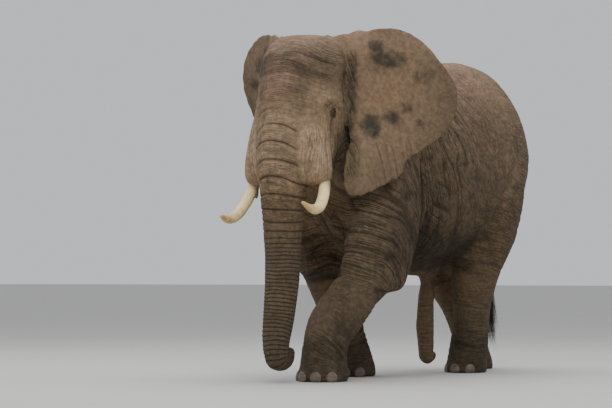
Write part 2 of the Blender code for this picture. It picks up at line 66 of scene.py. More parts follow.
# ---------------------------------------------------------------- sizes and colours


class SkinSizes(bpy.types.PropertyGroup):
    grain: FloatProperty(
        name="Grain", description="Edge length of the worked skin", default=0.010, unit="LENGTH"
    )
    faces: IntProperty(name="Faces", description="Triangles of the finished skin", default=192000)
    ease_rounds: IntProperty(name="Easing", description="Rounds that melt the facets", default=45)
    roll_spacing: FloatProperty(
        name="Roll spacing", description="Between the trunk's upper folds", default=0.152, unit="LENGTH"
    )
    ring_spacing: FloatProperty(
        name="Ring spacing", description="Between the trunk's lower rings", default=0.0365, unit="LENGTH"
    )
    roll_depth: FloatProperty(
        name="Roll depth", description="Of the trunk's upper folds", default=0.016, unit="LENGTH"
    )
    ring_depth: FloatProperty(
        name="Ring depth", description="Of the trunk's lower rings", default=0.0065, unit="LENGTH"
    )
    fold_depth: FloatProperty(
        name="Fold depth", description="On flank, shoulder and legs", default=0.0095, unit="LENGTH"
    )
    lid_gap: FloatProperty(
        name="Lid gap", description="From the eye's middle up to the lid", default=0.019, unit="LENGTH"
    )


class SkinColours(bpy.types.PropertyGroup):
    hide: FloatVectorProperty(
        name="Hide", description="Bare grey-brown hide", default=(0.180, 0.127, 0.074), subtype="COLOR"
    )
    dust: FloatVectorProperty(
        name="Dust", description="Red, on what faces up", default=(0.264, 0.160, 0.108), subtype="COLOR"
    )
    warm: FloatVectorProperty(
        name="Warm", description="Ochre cheeks and breast", default=(0.260, 0.155, 0.078), subtype="COLOR"
    )
    # Pale tan on the tusk sheaths, brow and eye ring, partly painted light where the cheeks and brow
    # catch the light
    pale: FloatVectorProperty(
        name="Pale", description="Rubbed tusk sheaths", default=(0.42, 0.300, 0.190), subtype="COLOR"
    )
    # Dark stains and lower legs, and also the colour of painted shade in hollows, at the ear's root and
    # under the belly
    dark: FloatVectorProperty(
        name="Dark", description="Stains and lower legs", default=(0.050, 0.040, 0.025), subtype="COLOR"
    )


class TuskLooks(bpy.types.PropertyGroup):
    ivory: FloatVectorProperty(
        name="Ivory", description="Clean ivory by the lip", default=(1.0, 0.79, 0.42), subtype="COLOR"
    )
    tip: FloatVectorProperty(
        name="Tip", description="Stained ivory at the tip", default=(0.58, 0.38, 0.15), subtype="COLOR"
    )
    taper: FloatProperty(name="Taper", description="Share of the tip's thickness lost", default=0.45)
    wear: FloatProperty(
        name="Wear", description="Depth of dents and scratches", default=0.0012, unit="LENGTH"
    )


class EyeLooks(bpy.types.PropertyGroup):
    radius: FloatProperty(name="Radius", description="Of the eyeball", default=0.028, unit="LENGTH")
    iris: FloatVectorProperty(
        name="Iris", description="Amber brown", default=(0.040, 0.017, 0.007), subtype="COLOR"
    )
    rim: FloatVectorProperty(
        name="Rim", description="Round the iris", default=(0.014, 0.009, 0.007), subtype="COLOR"
    )


class NailLooks(bpy.types.PropertyGroup):
    width: FloatProperty(name="Width", description="Of one toenail", default=0.108, unit="LENGTH")
    height: FloatProperty(name="Height", description="Of one toenail", default=0.088, unit="LENGTH")
    step: FloatProperty(
        name="Step", description="Turn from nail to nail", default=math.radians(36), subtype="ANGLE"
    )
    horn: FloatVectorProperty(
        name="Horn", description="Of the nails", default=(0.170, 0.130, 0.094), subtype="COLOR"
    )


class TailHair(bpy.types.PropertyGroup):
    strands: IntProperty(name="Strands", description="Wiry hairs at the tail's end", default=380)
    thickness: FloatProperty(
        name="Thickness", description="Of one hair at its root", default=0.0026, unit="LENGTH"
    )
    colour: FloatVectorProperty(
        name="Colour", description="Of the hairs", default=(0.018, 0.014, 0.012), subtype="COLOR"
    )


class StageLooks(bpy.types.PropertyGroup):
    distance: FloatProperty(
        name="Distance", description="Camera to the elephant", default=22.0, unit="LENGTH"
    )
    azimuth: FloatProperty(
        name="Azimuth", description="Camera round to the left", default=math.radians(35), subtype="ANGLE"
    )
    height: FloatProperty(name="Height", description="Of the camera", default=0.98, unit="LENGTH")
    lens: FloatProperty(name="Lens", description="Focal length in millimetres", default=129.4)
    floor: FloatVectorProperty(
        name="Floor", description="Pale studio floor", default=(0.56, 0.55, 0.53), subtype="COLOR"
    )


# ---------------------------------------------------------------- small tools


def deselect():
    for item in list(bpy.context.selected_objects):
        item.select_set(False)


def pick(item):
    """Make a piece the only selected one, and the active one."""
    deselect()
    item.select_set(True)
    bpy.context.view_layer.objects.active = item


def apply_modifier(item, kind, **settings):
    pick(item)
    made = item.modifiers.new(kind.title(), kind)
    for name, value in settings.items():
        setattr(made, name, value)
    bpy.ops.object.modifier_apply(modifier=made.name)


def join(items, into):
    """Fuse pieces into one of them, which stays the active one."""
    pick(into)
    for item in items:
        item.select_set(True)
    bpy.ops.object.join()


def piece_from(bm, name):
    """Make a finished bmesh an object of the scene."""
    mesh = bpy.data.meshes.new(name)
    bm.to_mesh(mesh)
    bm.free()
    made = bpy.data.objects.new(name, mesh)
    bpy.context.scene.collection.objects.link(made)
    return made


def copy_of(nodes, name):
    """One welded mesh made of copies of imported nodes."""
    bm = bmesh.new()
    for node in nodes:
        bm.from_mesh(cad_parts[node].data)
    bmesh.ops.remove_doubles(bm, verts=bm.verts, dist=1e-5)
    return piece_from(bm, name)


def points_of(mesh, what="vertices", field="co"):
    """One row of three numbers for each point, or for each part of another kind."""
    values = np.empty(len(getattr(mesh, what)) * 3, np.float32)
    getattr(mesh, what).foreach_get(field, values)
    return values.reshape(-1, 3).astype(float)


def normals_of(mesh):
    return points_of(mesh, field="normal")


def place_points(mesh, points):
    mesh.vertices.foreach_set("co", points.astype(np.float32).ravel())
    mesh.update()


def edges_of(mesh):
    """The numbers of each edge's two points."""
    pairs = np.empty(len(mesh.edges) * 2, np.int32)
    mesh.edges.foreach_get("vertices", pairs)
    return pairs.reshape(-1, 2)


def store(mesh, name, values):
    """Keep a number or a vector with each point."""
    kind, field = ("FLOAT_VECTOR", "vector") if np.ndim(values) == 2 else ("FLOAT", "value")
    made = mesh.attributes.new(name, kind, "POINT")
    made.data.foreach_set(field, np.asarray(values, np.float32).ravel())


def ramp(values, low, high):
    """0 below `low`, 1 above `high` and a smooth rise between."""
    t = np.clip((values - low) / (high - low), 0, 1)
    return t * t * (3 - 2 * t)


def fall(values, low, high):
    """1 below `low`, 0 above `high` and a smooth fall between."""
    return 1 - ramp(values, low, high)


def bell(values, middle, width):
    """1 at `middle`, and nearly 0 at twice `width` from it."""
    return np.exp(-(((values - middle) / width) ** 2))


def scatter(x, y, z, seed):
    """A repeatable number from -1 to 1 for each cell of a grid."""
    mixed = (x * 73856093) ^ (y * 19349663) ^ (z * 83492791) ^ (seed * 40503)
    mixed = (mixed ^ (mixed >> 13)) * 1274126177 & 0xFFFFFFFF
    mixed = (mixed ^ (mixed >> 16)) & 0xFFFF
    return (mixed / 32767.5 - 1).astype(np.float32)


def noise(places, seed):
    """Smooth noise from about -1 to 1, with one bump to a unit."""
    places = np.asarray(places, np.float32)
    base = np.floor(places)
    t = places - base
    t = t * t * (3 - 2 * t)
    x, y, z = base.astype(np.int64).T
    total = np.zeros(len(places), np.float32)
    for i, j, k in itertools.product((0, 1), repeat=3):
        weight = t[:, 0] if i else 1 - t[:, 0]
        weight = weight * (t[:, 1] if j else 1 - t[:, 1])
        weight = weight * (t[:, 2] if k else 1 - t[:, 2])
        total += weight * scatter(x + i, y + j, z + k, seed)
    return total


def creases(across, along, deep, spacing, stretch, seed, width=0.17):
    """1 in the bottom of long grooves that run along, and 0 between them."""
    long = spacing * stretch
    field = noise(np.column_stack([across / spacing, along / long, deep / long]), seed)
    return bell(field, 0, width)


def smooth_path(points, steps=14):
    """A Catmull-Rom curve through a few points."""
    rows = np.array([tuple(p) for p in points], float)
    padded = np.vstack([2 * rows[0] - rows[1], rows, 2 * rows[-1] - rows[-2]])
    fine = []
    for i in range(len(rows) - 1):
        a, b, c, d = padded[i : i + 4]
        for t in np.linspace(0, 1, steps, endpoint=False):
            bend = 2 * a - 5 * b + 4 * c - d
            fine.append(0.5 * (2 * b + (c - a) * t + bend * t**2 + (3 * b - a - 3 * c + d) * t**3))
    return np.array(fine + [rows[-1]])


# The offset given to points that are nowhere near a path
FAR = 9.0


def along_path(path, points, reach=0.75, chunk=20000):
    """Each point's length along a path, and its offset from the path's nearest place."""
    steps = np.linalg.norm(np.diff(path, axis=0), axis=1)
    lengths = np.concatenate([[0.0], np.cumsum(steps)])
    ways = np.gradient(path, axis=0)
    ways /= np.linalg.norm(ways, axis=1)[:, None]
    run, offset = np.zeros(len(points)), np.full_like(points, FAR)
    close = (points > path.min(axis=0) - reach) & (points < path.max(axis=0) + reach)
    chosen = np.nonzero(close.all(axis=1))[0]
    for start in range(0, len(chosen), chunk):
        part = chosen[start : start + chunk]
        squares = [(points[part, None, axis] - path[None, :, axis]) ** 2 for axis in range(3)]
        nearest = np.argmin(sum(squares), axis=1)
        gap = points[part] - path[nearest]
        run[part] = lengths[nearest] + (gap * ways[nearest]).sum(axis=1)
        offset[part] = gap
    return run, offset


def relax(points, edges, rounds, weight, share=0.8):
    """Draw each point a share of the way to the middle of its neighbours, round by round."""
    a, b = edges.T
    count = np.bincount(edges.ravel(), minlength=len(points))[:, None]
    step = share * np.broadcast_to(weight, len(points))[:, None]
    for _ in range(rounds):
        sums = np.empty_like(points)
        for axis in range(points.shape[1]):
            sums[:, axis] = np.bincount(a, points[b, axis], len(points))
            sums[:, axis] += np.bincount(b, points[a, axis], len(points))
        points = points + (sums / count - points) * step
    return points


def melt_facets(points, edges, rounds, weight):
    """Smooth, then give back the broad form that smoothing took away."""
    soft = relax(points, edges, rounds, weight)
    return soft + relax(points - soft, edges, rounds, weight)


def middle(name):
    """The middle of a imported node's box."""
    low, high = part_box(name)
    return (low + high) / 2


def finish(piece, nodes, material):
    """Dress a finished piece and tie it to the animal's one body."""
    piece.data.materials.clear()
    piece.data.materials.append(material)
    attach(piece, "root")
    if nodes:
        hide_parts(*nodes)


# ---------------------------------------------------------------- where things are


class Head:
    """The head's own axes, which start between the eyes: left, ahead and up."""

    def __init__(self):
        left, right = middle("eye_left"), middle("eye_right")
        self.origin = (left + right) / 2
        self.across = Vector((left.x - right.x, left.y - right.y, 0)).normalized()
        self.ahead = Vector((self.across.y, -self.across.x, 0))

    def local(self, points):
        away = points - np.array(self.origin)
        return np.column_stack([away @ np.array(self.across), away @ np.array(self.ahead), away[:, 2]])

    def world(self, left, ahead, up):
        return self.origin + self.across * left + self.ahead * ahead + Vector((0, 0, up))


# The middle of the trunk's curled end, as shares of its length's reach ahead and up
TRUNK_CURL = ((0.70, 0.87), (0.654, 0.38), (0.41, 0.286), (0.217, 0.444), (0.147, 0.714))


def trunk_path(head):
    """Down the middle of the trunk, from between the eyes to the curled tip."""
    path = [head.world(0, 0.18, -0.01), head.world(0, 0.25, -0.42)]
    path += [middle(name) for name in TRUNK[:3]]
    end = head.local(points_of(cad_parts[TRUNK[3]].data))
    low, high = end.min(axis=0), end.max(axis=0)
    for forward, up in TRUNK_CURL:
        spot = low + (high - low) * (0.5, forward, up)
        path.append(head.world(0, spot[1], spot[2]))
    return smooth_path(path)


def leg_path(leg):
    """Down the middle of a leg, from inside the body to below the sole."""
    foot = middle(leg.replace("leg", "foot"))
    top = middle(f"{leg}_upper")
    above = top + (top - middle(f"{leg}_lower")) * 0.5
    return smooth_path([above, top, middle(f"{leg}_lower"), foot, foot - Vector((0, 0, 0.2))])


# From between the eyes: how far to the side, and how far ahead
EAR_HINGE = (0.42, -0.30)
# How far each ear lies back from straight out
EAR_SWEEP = {"left": math.radians(36), "right": math.radians(38)}


def ear_axes(head, side):
    """Hinge of an ear, and the ways out along it and forward from it."""
    sign, sweep = SIDES[side], EAR_SWEEP[side]
    hinge = head.world(sign * EAR_HINGE[0], EAR_HINGE[1], 0)
    out = head.across * sign * math.cos(sweep) - head.ahead * math.sin(sweep)
    front = head.across * sign * math.sin(sweep) + head.ahead * math.cos(sweep)
    return np.array(hinge), np.array(out), np.array(front)


# ---------------------------------------------------------------- the skin's form

# What a thin ear is given before it is fused on, to make up for what smoothing takes off it
EAR_SWELL = 0.008
EAR_GROWTH = 0.020


def rooted(name, flesh, toward, reach=0.06):
    """A smooth copy of an ear or the tail, with its root pushed into the flesh."""
    item = copy_of([name], f"{name}_form")
    for vert in item.data.vertices:
        gap = flesh.find_nearest(vert.co)[3]
        if gap < 0.004:
            vert.co += toward * reach
    thin = name.startswith("ear")
    kind = "SIMPLE" if thin else "CATMULL_CLARK"
    levels = 3 if thin else 2
    apply_modifier(item, "SUBSURF", subdivision_type=kind, levels=levels, render_levels=levels)
    if thin:
        points = melt_facets(points_of(item.data), edges_of(item.data), 26, 1.0)
        place_points(item.data, points)
        centre = (points.min(axis=0) + points.max(axis=0)) / 2
        swell = normals_of(item.data) * EAR_SWELL
        place_points(item.data, points + (points - centre) * EAR_GROWTH + swell)
    return item


def thickness(mesh, points, most=1.5):
    """How far it is through the flesh behind each point, up to `most`."""
    solid = BVHTree.FromPolygons(points, [tuple(face.vertices) for face in mesh.polygons])
    through = np.full(len(points), most)
    for i, (spot, way) in enumerate(zip(points, normals_of(mesh))):
        away = Vector(-way)
        gap = solid.ray_cast(Vector(spot) + away * 0.004, away, most)[3]
        if gap is not None:
            through[i] = gap
    return through


def raw_skin(sizes, head):
    """All the flesh as one smooth closed mesh, and the points of each ear before it was fused on."""
    flesh = copy_of(FLESH, "skin")
    solid = BVHTree.FromObject(flesh, bpy.context.evaluated_depsgraph_get())
    limbs = []
    for side in SIDES:
        inward = Vector(-ear_axes(head, side)[1])
        limbs.append(rooted(f"ear_{side}", solid, inward))
    guides = {side: points_of(limb.data) for side, limb in zip(SIDES, limbs)}
    limbs.append(rooted("tail", solid, Vector((0, -1, 0))))

    # Thin flesh, the head and the soles keep more of their shape than the broad body
    apply_modifier(flesh, "REMESH", mode="VOXEL", voxel_size=2 * sizes.grain)
    points, edges = points_of(flesh.data), edges_of(flesh.data)
    thin = relax(thickness(flesh.data, points)[:, None], edges, 12, 1.0)[:, 0]
    weight = 0.12 + 0.88 * ramp(thin, 0.12, 0.95)
    weight *= 1 - 0.45 * ramp(head.local(points)[:, 1], -0.6, 0.1)
    weight *= 0.12 + 0.88 * ramp(points[:, 2], 0.0, 0.14)
    place_points(flesh.data, melt_facets(points, edges, sizes.ease_rounds, weight))
    apply_modifier(flesh, "SUBSURF", levels=1, render_levels=1)

    join(limbs, flesh)
    apply_modifier(flesh, "REMESH", mode="VOXEL", voxel_size=sizes.grain)
    points, edges = points_of(flesh.data), edges_of(flesh.data)
    place_points(flesh.data, melt_facets(points, edges, 7, 0.9))
    return flesh, guides


def refine_round_eyes(skin, reach=0.085):
    """Finer faces where the lids will be."""
    pick(skin)
    bpy.ops.object.mode_set(mode="EDIT")
    bpy.ops.mesh.select_all(action="DESELECT")
    bpy.ops.object.mode_set(mode="OBJECT")
    centres = points_of(skin.data, "polygons", "center")
    near = np.zeros(len(centres), bool)
    for side in SIDES:
        near |= np.linalg.norm(centres - np.array(middle(f"eye_{side}")), axis=1) < reach
    skin.data.polygons.foreach_set("select", near)
    bpy.ops.object.mode_set(mode="EDIT")
    bpy.ops.mesh.subdivide(number_cuts=3, smoothness=0.6)
    bpy.ops.object.mode_set(mode="OBJECT")


# What is kept with each point of the skin for its material to read; the grooves carry painted shade, and
# the dark and pale marks are partly painted shade and painted light
MARKS = ("groove", "ring", "ring_gap", "ring_depth", "warm", "dark", "dust", "pale", "smooth")
# Three sets of fine wrinkles, which may cross
FLOWS = ("a", "b", "c")


class Fields:
    """What each point of the skin is given: how far it lifts, and how it is marked."""

    def __init__(self, mesh, head):
        self.at, self.edges = points_of(mesh), edges_of(mesh)
        self.normal = normals_of(mesh)
        self.head = head.local(self.at)
        count = len(self.at)
        self.shift = np.zeros((count, 3))
        for name in ("lift", "join", *MARKS):
            setattr(self, name, np.zeros(count))
        self.flows = {name: np.zeros((count, 3)) for name in FLOWS}
        self.amounts = {name: np.zeros(count) for name in FLOWS}

    def cut(self, groove, depth):
        """Sink the skin along grooves, and note them for the painted shade there."""
        self.lift -= groove * depth
        self.groove = np.maximum(self.groove, groove * np.minimum(1.0, np.asarray(depth) / 0.006))

    def stain(self, name, amount):
        """Raise a mark to at least this much."""
        setattr(self, name, np.maximum(getattr(self, name), amount))

    def wrinkle(self, name, amount, spacing, across, along, deep, stretch):
        """Let fine wrinkles run along here. The material draws them."""
        stronger = amount > self.amounts[name]
        long = spacing * stretch
        flow = np.column_stack([across / spacing, along / long, deep / long])
        self.flows[name][stronger] = flow[stronger]
        self.amounts[name] = np.where(stronger, amount, self.amounts[name])


# How thick the trunk is, by the length run down it from between the eyes
TRUNK_RUN = (0, 0.6, 1.0, 1.6, 2.05, 2.5)
TRUNK_RADIUS = (0.27, 0.24, 0.20, 0.17, 0.14, 0.075)


def fold_trunk(f, sizes, path, head):
    """Flat rolls between the tusks, and closer and closer rings to the tip."""
    run, offset = along_path(path, f.at)
    away = np.linalg.norm(offset, axis=1)
    left, ahead, up = f.head.T
    inside = fall(away / np.interp(run, TRUNK_RUN, TRUNK_RADIUS), 1.22, 1.5)
    inside *= ramp(run, -0.10, 0.10) * ramp(ahead, -0.06, 0.06)
    inside *= 1 - ramp(np.abs(left), 0.17, 0.25) * ramp(up, -0.70, -0.60)
    facing = (offset @ np.array(head.ahead)) / np.maximum(away, 1e-6)

    # Rings are counted down the trunk, and their spacing shrinks as they go
    arch = 0.045 * (left / 0.2) ** 2 * fall(run, 0.7, 1.0)
    sag = 0.012 * noise(f.at * 6, 3) + 0.010 * noise(f.at * 2.5, 4)
    level = run - arch + sag
    table = np.linspace(-0.3, 3.0, 600)
    wider = sizes.roll_spacing - sizes.ring_spacing
    spacing = sizes.ring_spacing + wider * fall(table, 0.72, 1.34)
    turns = np.concatenate([[0], np.cumsum(np.diff(table) / spacing[1:])])
    ring = np.interp(level, table, turns)
    gap = np.interp(run, table, spacing)
    part = np.abs(ring - np.round(ring)) * gap
    lower = ramp(run, 0.75, 1.30)
    groove = bell(part, 0, 0.0110 - 0.0030 * lower)

    uneven = noise(np.column_stack([np.round(ring) * 3.1, f.at[:, 0] * 3, f.at[:, 1] * 3]), 5)
    strength = 0.80 + 0.30 * uneven
    depth = sizes.roll_depth + (sizes.ring_depth - sizes.roll_depth) * lower
    depth = depth * (0.40 + 0.60 * ramp(run, 0.05, 0.60))
    depth = depth * (0.45 + 0.55 * ramp(facing, -0.7, 0.2)) * strength * inside
    # The ring grooves sink the skin and get painted shade
    f.cut(groove, depth)
    upper = inside * (1 - lower)
    fat_rolls = bell(run, 0.85, 0.30) * inside
    f.lift += 0.006 * fat_rolls * (1 - (part / gap * 2) ** 2)
    f.ring, f.ring_gap, f.ring_depth = ring, gap, inside * (0.70 + 0.30 * lower)
    f.wrinkle("a", inside * (0.45 + 0.20 * bell(run, 0.75, 0.25)), 0.022, level, left, ahead, 3.5)
    f.wrinkle("c", inside * 0.24 * bell(run, 0.75, 0.30), 0.022, left, up, ahead, 3.0)
    f.cut(creases(run - arch, left, ahead, 0.045, 5, 21), 0.0035 * upper)
    f.stain("dark", 0.60 * inside * ramp(run, 1.15, 2.0))
    f.stain("warm", 0.45 * upper)
    f.stain("pale", 0.55 * inside * fall(run, 0.45, 0.95))
    return inside


def fold_face(f, blades):
    """Brow, temple hollow, lines across the forehead and down the cheek."""
    left, ahead, up = f.head.T
    side = np.abs(left)
    front = ramp(ahead, -0.66, -0.42) * (1 - blades)
    brow = front * ramp(up, -0.06, 0.06) * fall(side, 0.36, 0.46)
    bend = up + 0.10 * (left / 0.35) ** 2 + 0.02 * noise(f.at * 5, 31)
    strong = brow * bell(up, 0.46, 0.20)
    f.cut(creases(bend, left, ahead, 0.042, 14, 32, 0.14), 0.0034 * strong + 0.0020 * brow)
    f.wrinkle("b", brow * (0.42 + 0.28 * bell(up, 0.45, 0.20)), 0.026, bend, left, ahead, 13)
    temple = bell(up, 0.25, 0.15) * bell(ahead, -0.16, 0.15) * ramp(side, 0.22, 0.34)
    f.lift -= 0.030 * temple
    f.lift += 0.016 * bell(side, 0.16, 0.11) * bell(up, 0.55, 0.16) * ramp(ahead, -0.2, 0.1)
    ridge = up - 0.085 - 0.22 * (ahead + 0.02)
    f.lift += 0.022 * bell(ridge, 0, 0.040) * bell(ahead, 0.0, 0.13) * ramp(side, 0.20, 0.30)
    cheek = front * bell(up, -0.36, 0.34) * ramp(side, 0.19, 0.27)
    around = 0.20 * np.arctan2(side - 0.20, ahead - 0.02) + 0.012 * noise(f.at * 5, 35)
    f.cut(creases(around, up, 0 * up, 0.034, 14, 33, 0.13), 0.0050 * cheek)
    f.wrinkle("c", 0.7 * cheek, 0.022, around, up, 0 * up, 10)
    f.stain("warm", 0.95 * cheek * ramp(ahead, -0.10, 0.06))
    f.stain("warm", 0.55 * bell(up, 0.02, 0.20) * front * ramp(side, 0.18, 0.30))
    f.stain("pale", cheek * ramp(ahead, -0.10, 0.06))
    f.stain("pale", 0.45 * bell(up, 0.14, 0.12) * front * ramp(side, 0.16, 0.28))
    # A hollow below and behind the eye, darkened with painted shade
    hollow = bell(ahead, -0.30, 0.12) * bell(up, -0.30, 0.36) * ramp(side, 0.22, 0.32) * (1 - blades)
    f.cut(creases(ahead + 0.35 * up, up, side, 0.040, 8, 34), 0.0100 * hollow)
    f.stain("dark", 0.65 * hollow)
    f.stain("dark", 0.26 * bell(side, 0.31, 0.13) * bell(up, 0.47, 0.13) * ramp(ahead, -0.40, 0.0))
    f.stain("dark", 0.40 * bell(side, 0.19, 0.10) * bell(up, 0.20, 0.09) * ramp(ahead, -0.1, 0.1))


def eye_axes(f, head, side):
    """The eye's middle, and the ways outward, forward and up in the plane of the skin round it."""
    centre = np.array(middle(f"eye_{side}"))
    close = np.linalg.norm(f.at - centre, axis=1) < 0.075
    outward = f.normal[close].mean(axis=0)
    outward = outward / np.linalg.norm(outward)
    forward = np.array(head.ahead) - outward * (np.array(head.ahead) @ outward)
    forward = forward / np.linalg.norm(forward)
    upward = np.cross(outward, forward) * SIDES[side]
    upward *= np.sign(upward[2])
    tilt = math.radians(16)
    x_way = forward * math.cos(tilt) - upward * math.sin(tilt)
    return centre, outward, x_way, upward * math.cos(tilt) + forward * math.sin(tilt)


# Half the width of the opening between the lids
LID_OPENING = 0.0265
# Creases outside each lid: how far beyond the first one, and how deep
UPPER_CREASES = ((0.0, 1.0), (0.015, 0.8), (0.031, 0.6), (0.047, 0.4))
LOWER_CREASES = ((0.0, 0.9), (0.014, 0.8), (0.030, 0.7), (0.047, 0.5))


def nested_creases(level, places, fade):
    """Creases one outside the other, each at its own distance and strength."""
    total = np.zeros(len(level))
    for place, strength in places:
        total = np.maximum(total, strength * bell(level, place, 0.0040) * fade)
    return total


def fold_round_eye(f, sizes, axes, radius):
    """Lids that hug the ball, a brow fold above, a pouch and creases below."""
    centre, outward, x_way, y_way = axes
    away = f.at - centre
    height, x, y = away @ outward, away @ x_way, away @ y_way
    reach = np.sqrt(x**2 + y**2)
    near = fall(reach, 0.070, 0.14) * (np.abs(height) < 0.10)

    # The skin is drawn over a dome a little wider than the ball, with a soft edge where they meet
    lid = radius + 0.0055
    dome = np.sqrt(np.maximum(lid**2 - reach**2, 0)) * (reach < lid)
    over = dome - height
    target = height + 0.5 * (over + np.sqrt(over**2 + 0.00003)) * (reach < 0.05)
    almond = np.clip(1 - (x / LID_OPENING) ** 2, 0, 1)
    span = np.where(y > 0, sizes.lid_gap * almond, 0.8 * sizes.lid_gap * almond)
    opening = (np.abs(y) < span - 0.0005) & (np.abs(x) < LID_OPENING)
    target += 0.0030 * bell(np.abs(y) - span, 0.0035, 0.0035) * (np.abs(x) < 0.030)
    upper = y - 0.031 + 5.0 * x**2
    below = -y - 0.028 + 6.5 * x**2
    folds = np.maximum(
        nested_creases(upper, UPPER_CREASES, fall(np.abs(x), 0.045, 0.070)),
        nested_creases(below, LOWER_CREASES, fall(np.abs(x), 0.035, 0.060)),
    )
    folds *= 0.80 + 0.4 * noise(f.at * 30, 38)
    target = target - 0.0070 * folds + 0.007 * bell(y, -0.036, 0.013) * bell(x, 0.0, 0.030)
    target += 0.010 * bell(upper, 0.007, 0.010) * fall(np.abs(x), 0.030, 0.060)
    target = np.where(opening, -0.8 * radius, target)
    f.shift += outward * ((target - height) * near)[:, None]
    # Painted shade in the folds round the lids and in the opening between them
    f.stain("groove", near * np.maximum(folds, 0.5 * opening))
    f.stain("dark", 0.85 * near * fall(reach, 0.036, 0.062))

    # A tear track, a dark corner behind, and two grooves arching over a paler ring, with painted shade in
    # the grooves
    shallow = np.abs(height) < 0.15
    behind = bell(x, -0.045 - 0.4 * np.maximum(-y, 0), 0.016) * bell(y, -0.02, 0.035)
    tears = bell(x, 0.030 + 0.45 * (-y - 0.04), 0.016) * ramp(-y, 0.02, 0.05) * fall(-y, 0.14, 0.24)
    f.stain("dark", 0.85 * np.maximum(tears, 0.6 * behind) * shallow)
    ring = bell(reach, 0.065, 0.025) * shallow
    f.stain("warm", 0.90 * ring)
    f.stain("pale", 0.50 * ring)
    first = bell(np.hypot(x * 0.85, y), 0.100, 0.0055) * ramp(y, 0.0, 0.04)
    second = 0.7 * bell(np.hypot(x * 0.8, y), 0.122, 0.005) * ramp(y, 0.03, 0.07)
    arches = np.maximum(first, second) * (np.abs(height) < 0.12)
    f.shift -= outward * (0.008 * arches)[:, None]
    f.stain("groove", 0.9 * arches)


def gap_to(f, name, reach):
    """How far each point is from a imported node, held at `reach`."""
    low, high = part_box(name)
    close = ((f.at > np.array(low) - reach) & (f.at < np.array(high) + reach)).all(axis=1)
    solid = BVHTree.FromObject(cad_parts[name], bpy.context.evaluated_depsgraph_get())
    gaps = np.full(len(f.at), float(reach))
    for i in np.nonzero(close)[0]:
        found = solid.find_nearest(Vector(f.at[i]), reach)[3]
        if found is not None:
            gaps[i] = found
    return gaps


def shape_tail(f):
    """Rings round the tail, and a line of painted shade where it lies against the rump."""
    gaps = gap_to(f, "tail", 0.06)
    edge = bell(gaps, 0.030, 0.014)
    f.stain("groove", 0.75 * edge)
    f.lift -= 0.006 * edge
    mask = fall(gaps, 0.012, 0.030)
    f.wrinkle("a", 0.75 * mask, 0.022, f.at[:, 2], f.at[:, 0], f.at[:, 1], 5)
    return mask


# An ear's middle: out from its hinge, and above the eye
EAR_MIDDLE = (0.34, 0.02)
# Directions in which an ear's outline is measured from there
RIM_SLOTS = 300
# How far the top of the lobe is pressed into the side of the head
EAR_TUCK = 0.045
# Where the ear is stained: out from the hinge, above the eye, half width and half height
EAR_STAINS = (
    (0.180, -0.127, 0.100, 0.105),
    (0.368, -0.018, 0.092, 0.060),
    (0.524, 0.071, 0.050, 0.045),
    (0.646, -0.072, 0.036, 0.036),
    (0.330, 0.530, 0.200, 0.080),
    (0.230, 0.640, 0.080, 0.060),
    (0.657, 0.375, 0.095, 0.045),
)


def polar(out, up):
    """Each point's reach from an ear's middle, and its direction counted in slots."""
    out, up = out - EAR_MIDDLE[0], up - EAR_MIDDLE[1]
    return np.hypot(out, up), (np.arctan2(up, out) / math.tau + 0.5) * RIM_SLOTS


def outline(reach, turn, blur, lap=20):
    """The farthest reach in each direction, smoothed over `blur` slots."""
    rim = np.zeros(RIM_SLOTS)
    np.maximum.at(rim, turn.astype(int) % RIM_SLOTS, reach)
    wrapped = np.concatenate([rim[-lap:], rim, rim[:lap]])
    kernel = np.hanning(blur + 2)[1:-1]
    return np.convolve(wrapped, kernel / kernel.sum(), "same")[lap:-lap]


def read_outline(rim, turn):
    """How far out the rim lies in each direction round the ear."""
    return np.interp(turn - 0.5, np.arange(RIM_SLOTS), rim, period=RIM_SLOTS)


def true_rim(f, out, up, out_way, inside, guide):
    """Bring an ear's rim back to the even outline that it had before it was fused on."""
    out, up = out[inside], up[inside]
    reach, turn = polar(out, up)
    rim = read_outline(outline(reach, turn, 3), turn)
    guide = polar(*guide)
    wanted = read_outline(outline(*guide, 23), turn)
    ragged = read_outline(outline(*guide, 7), turn)
    wanted += (ragged - wanted) * ramp(-up, 0.26, 0.40)
    push = np.clip(wanted - rim, -0.03, 0.03) * ramp(reach, rim - 0.08, rim - 0.015)
    push *= np.maximum(ramp(out, 0.10, 0.24), ramp(-up, 0.24, 0.36))
    share = push / np.maximum(reach, 0.1)
    f.shift[inside] += out_way * (share * (out - EAR_MIDDLE[0]))[:, None]
    f.shift[inside, 2] += share * (up - EAR_MIDDLE[1])


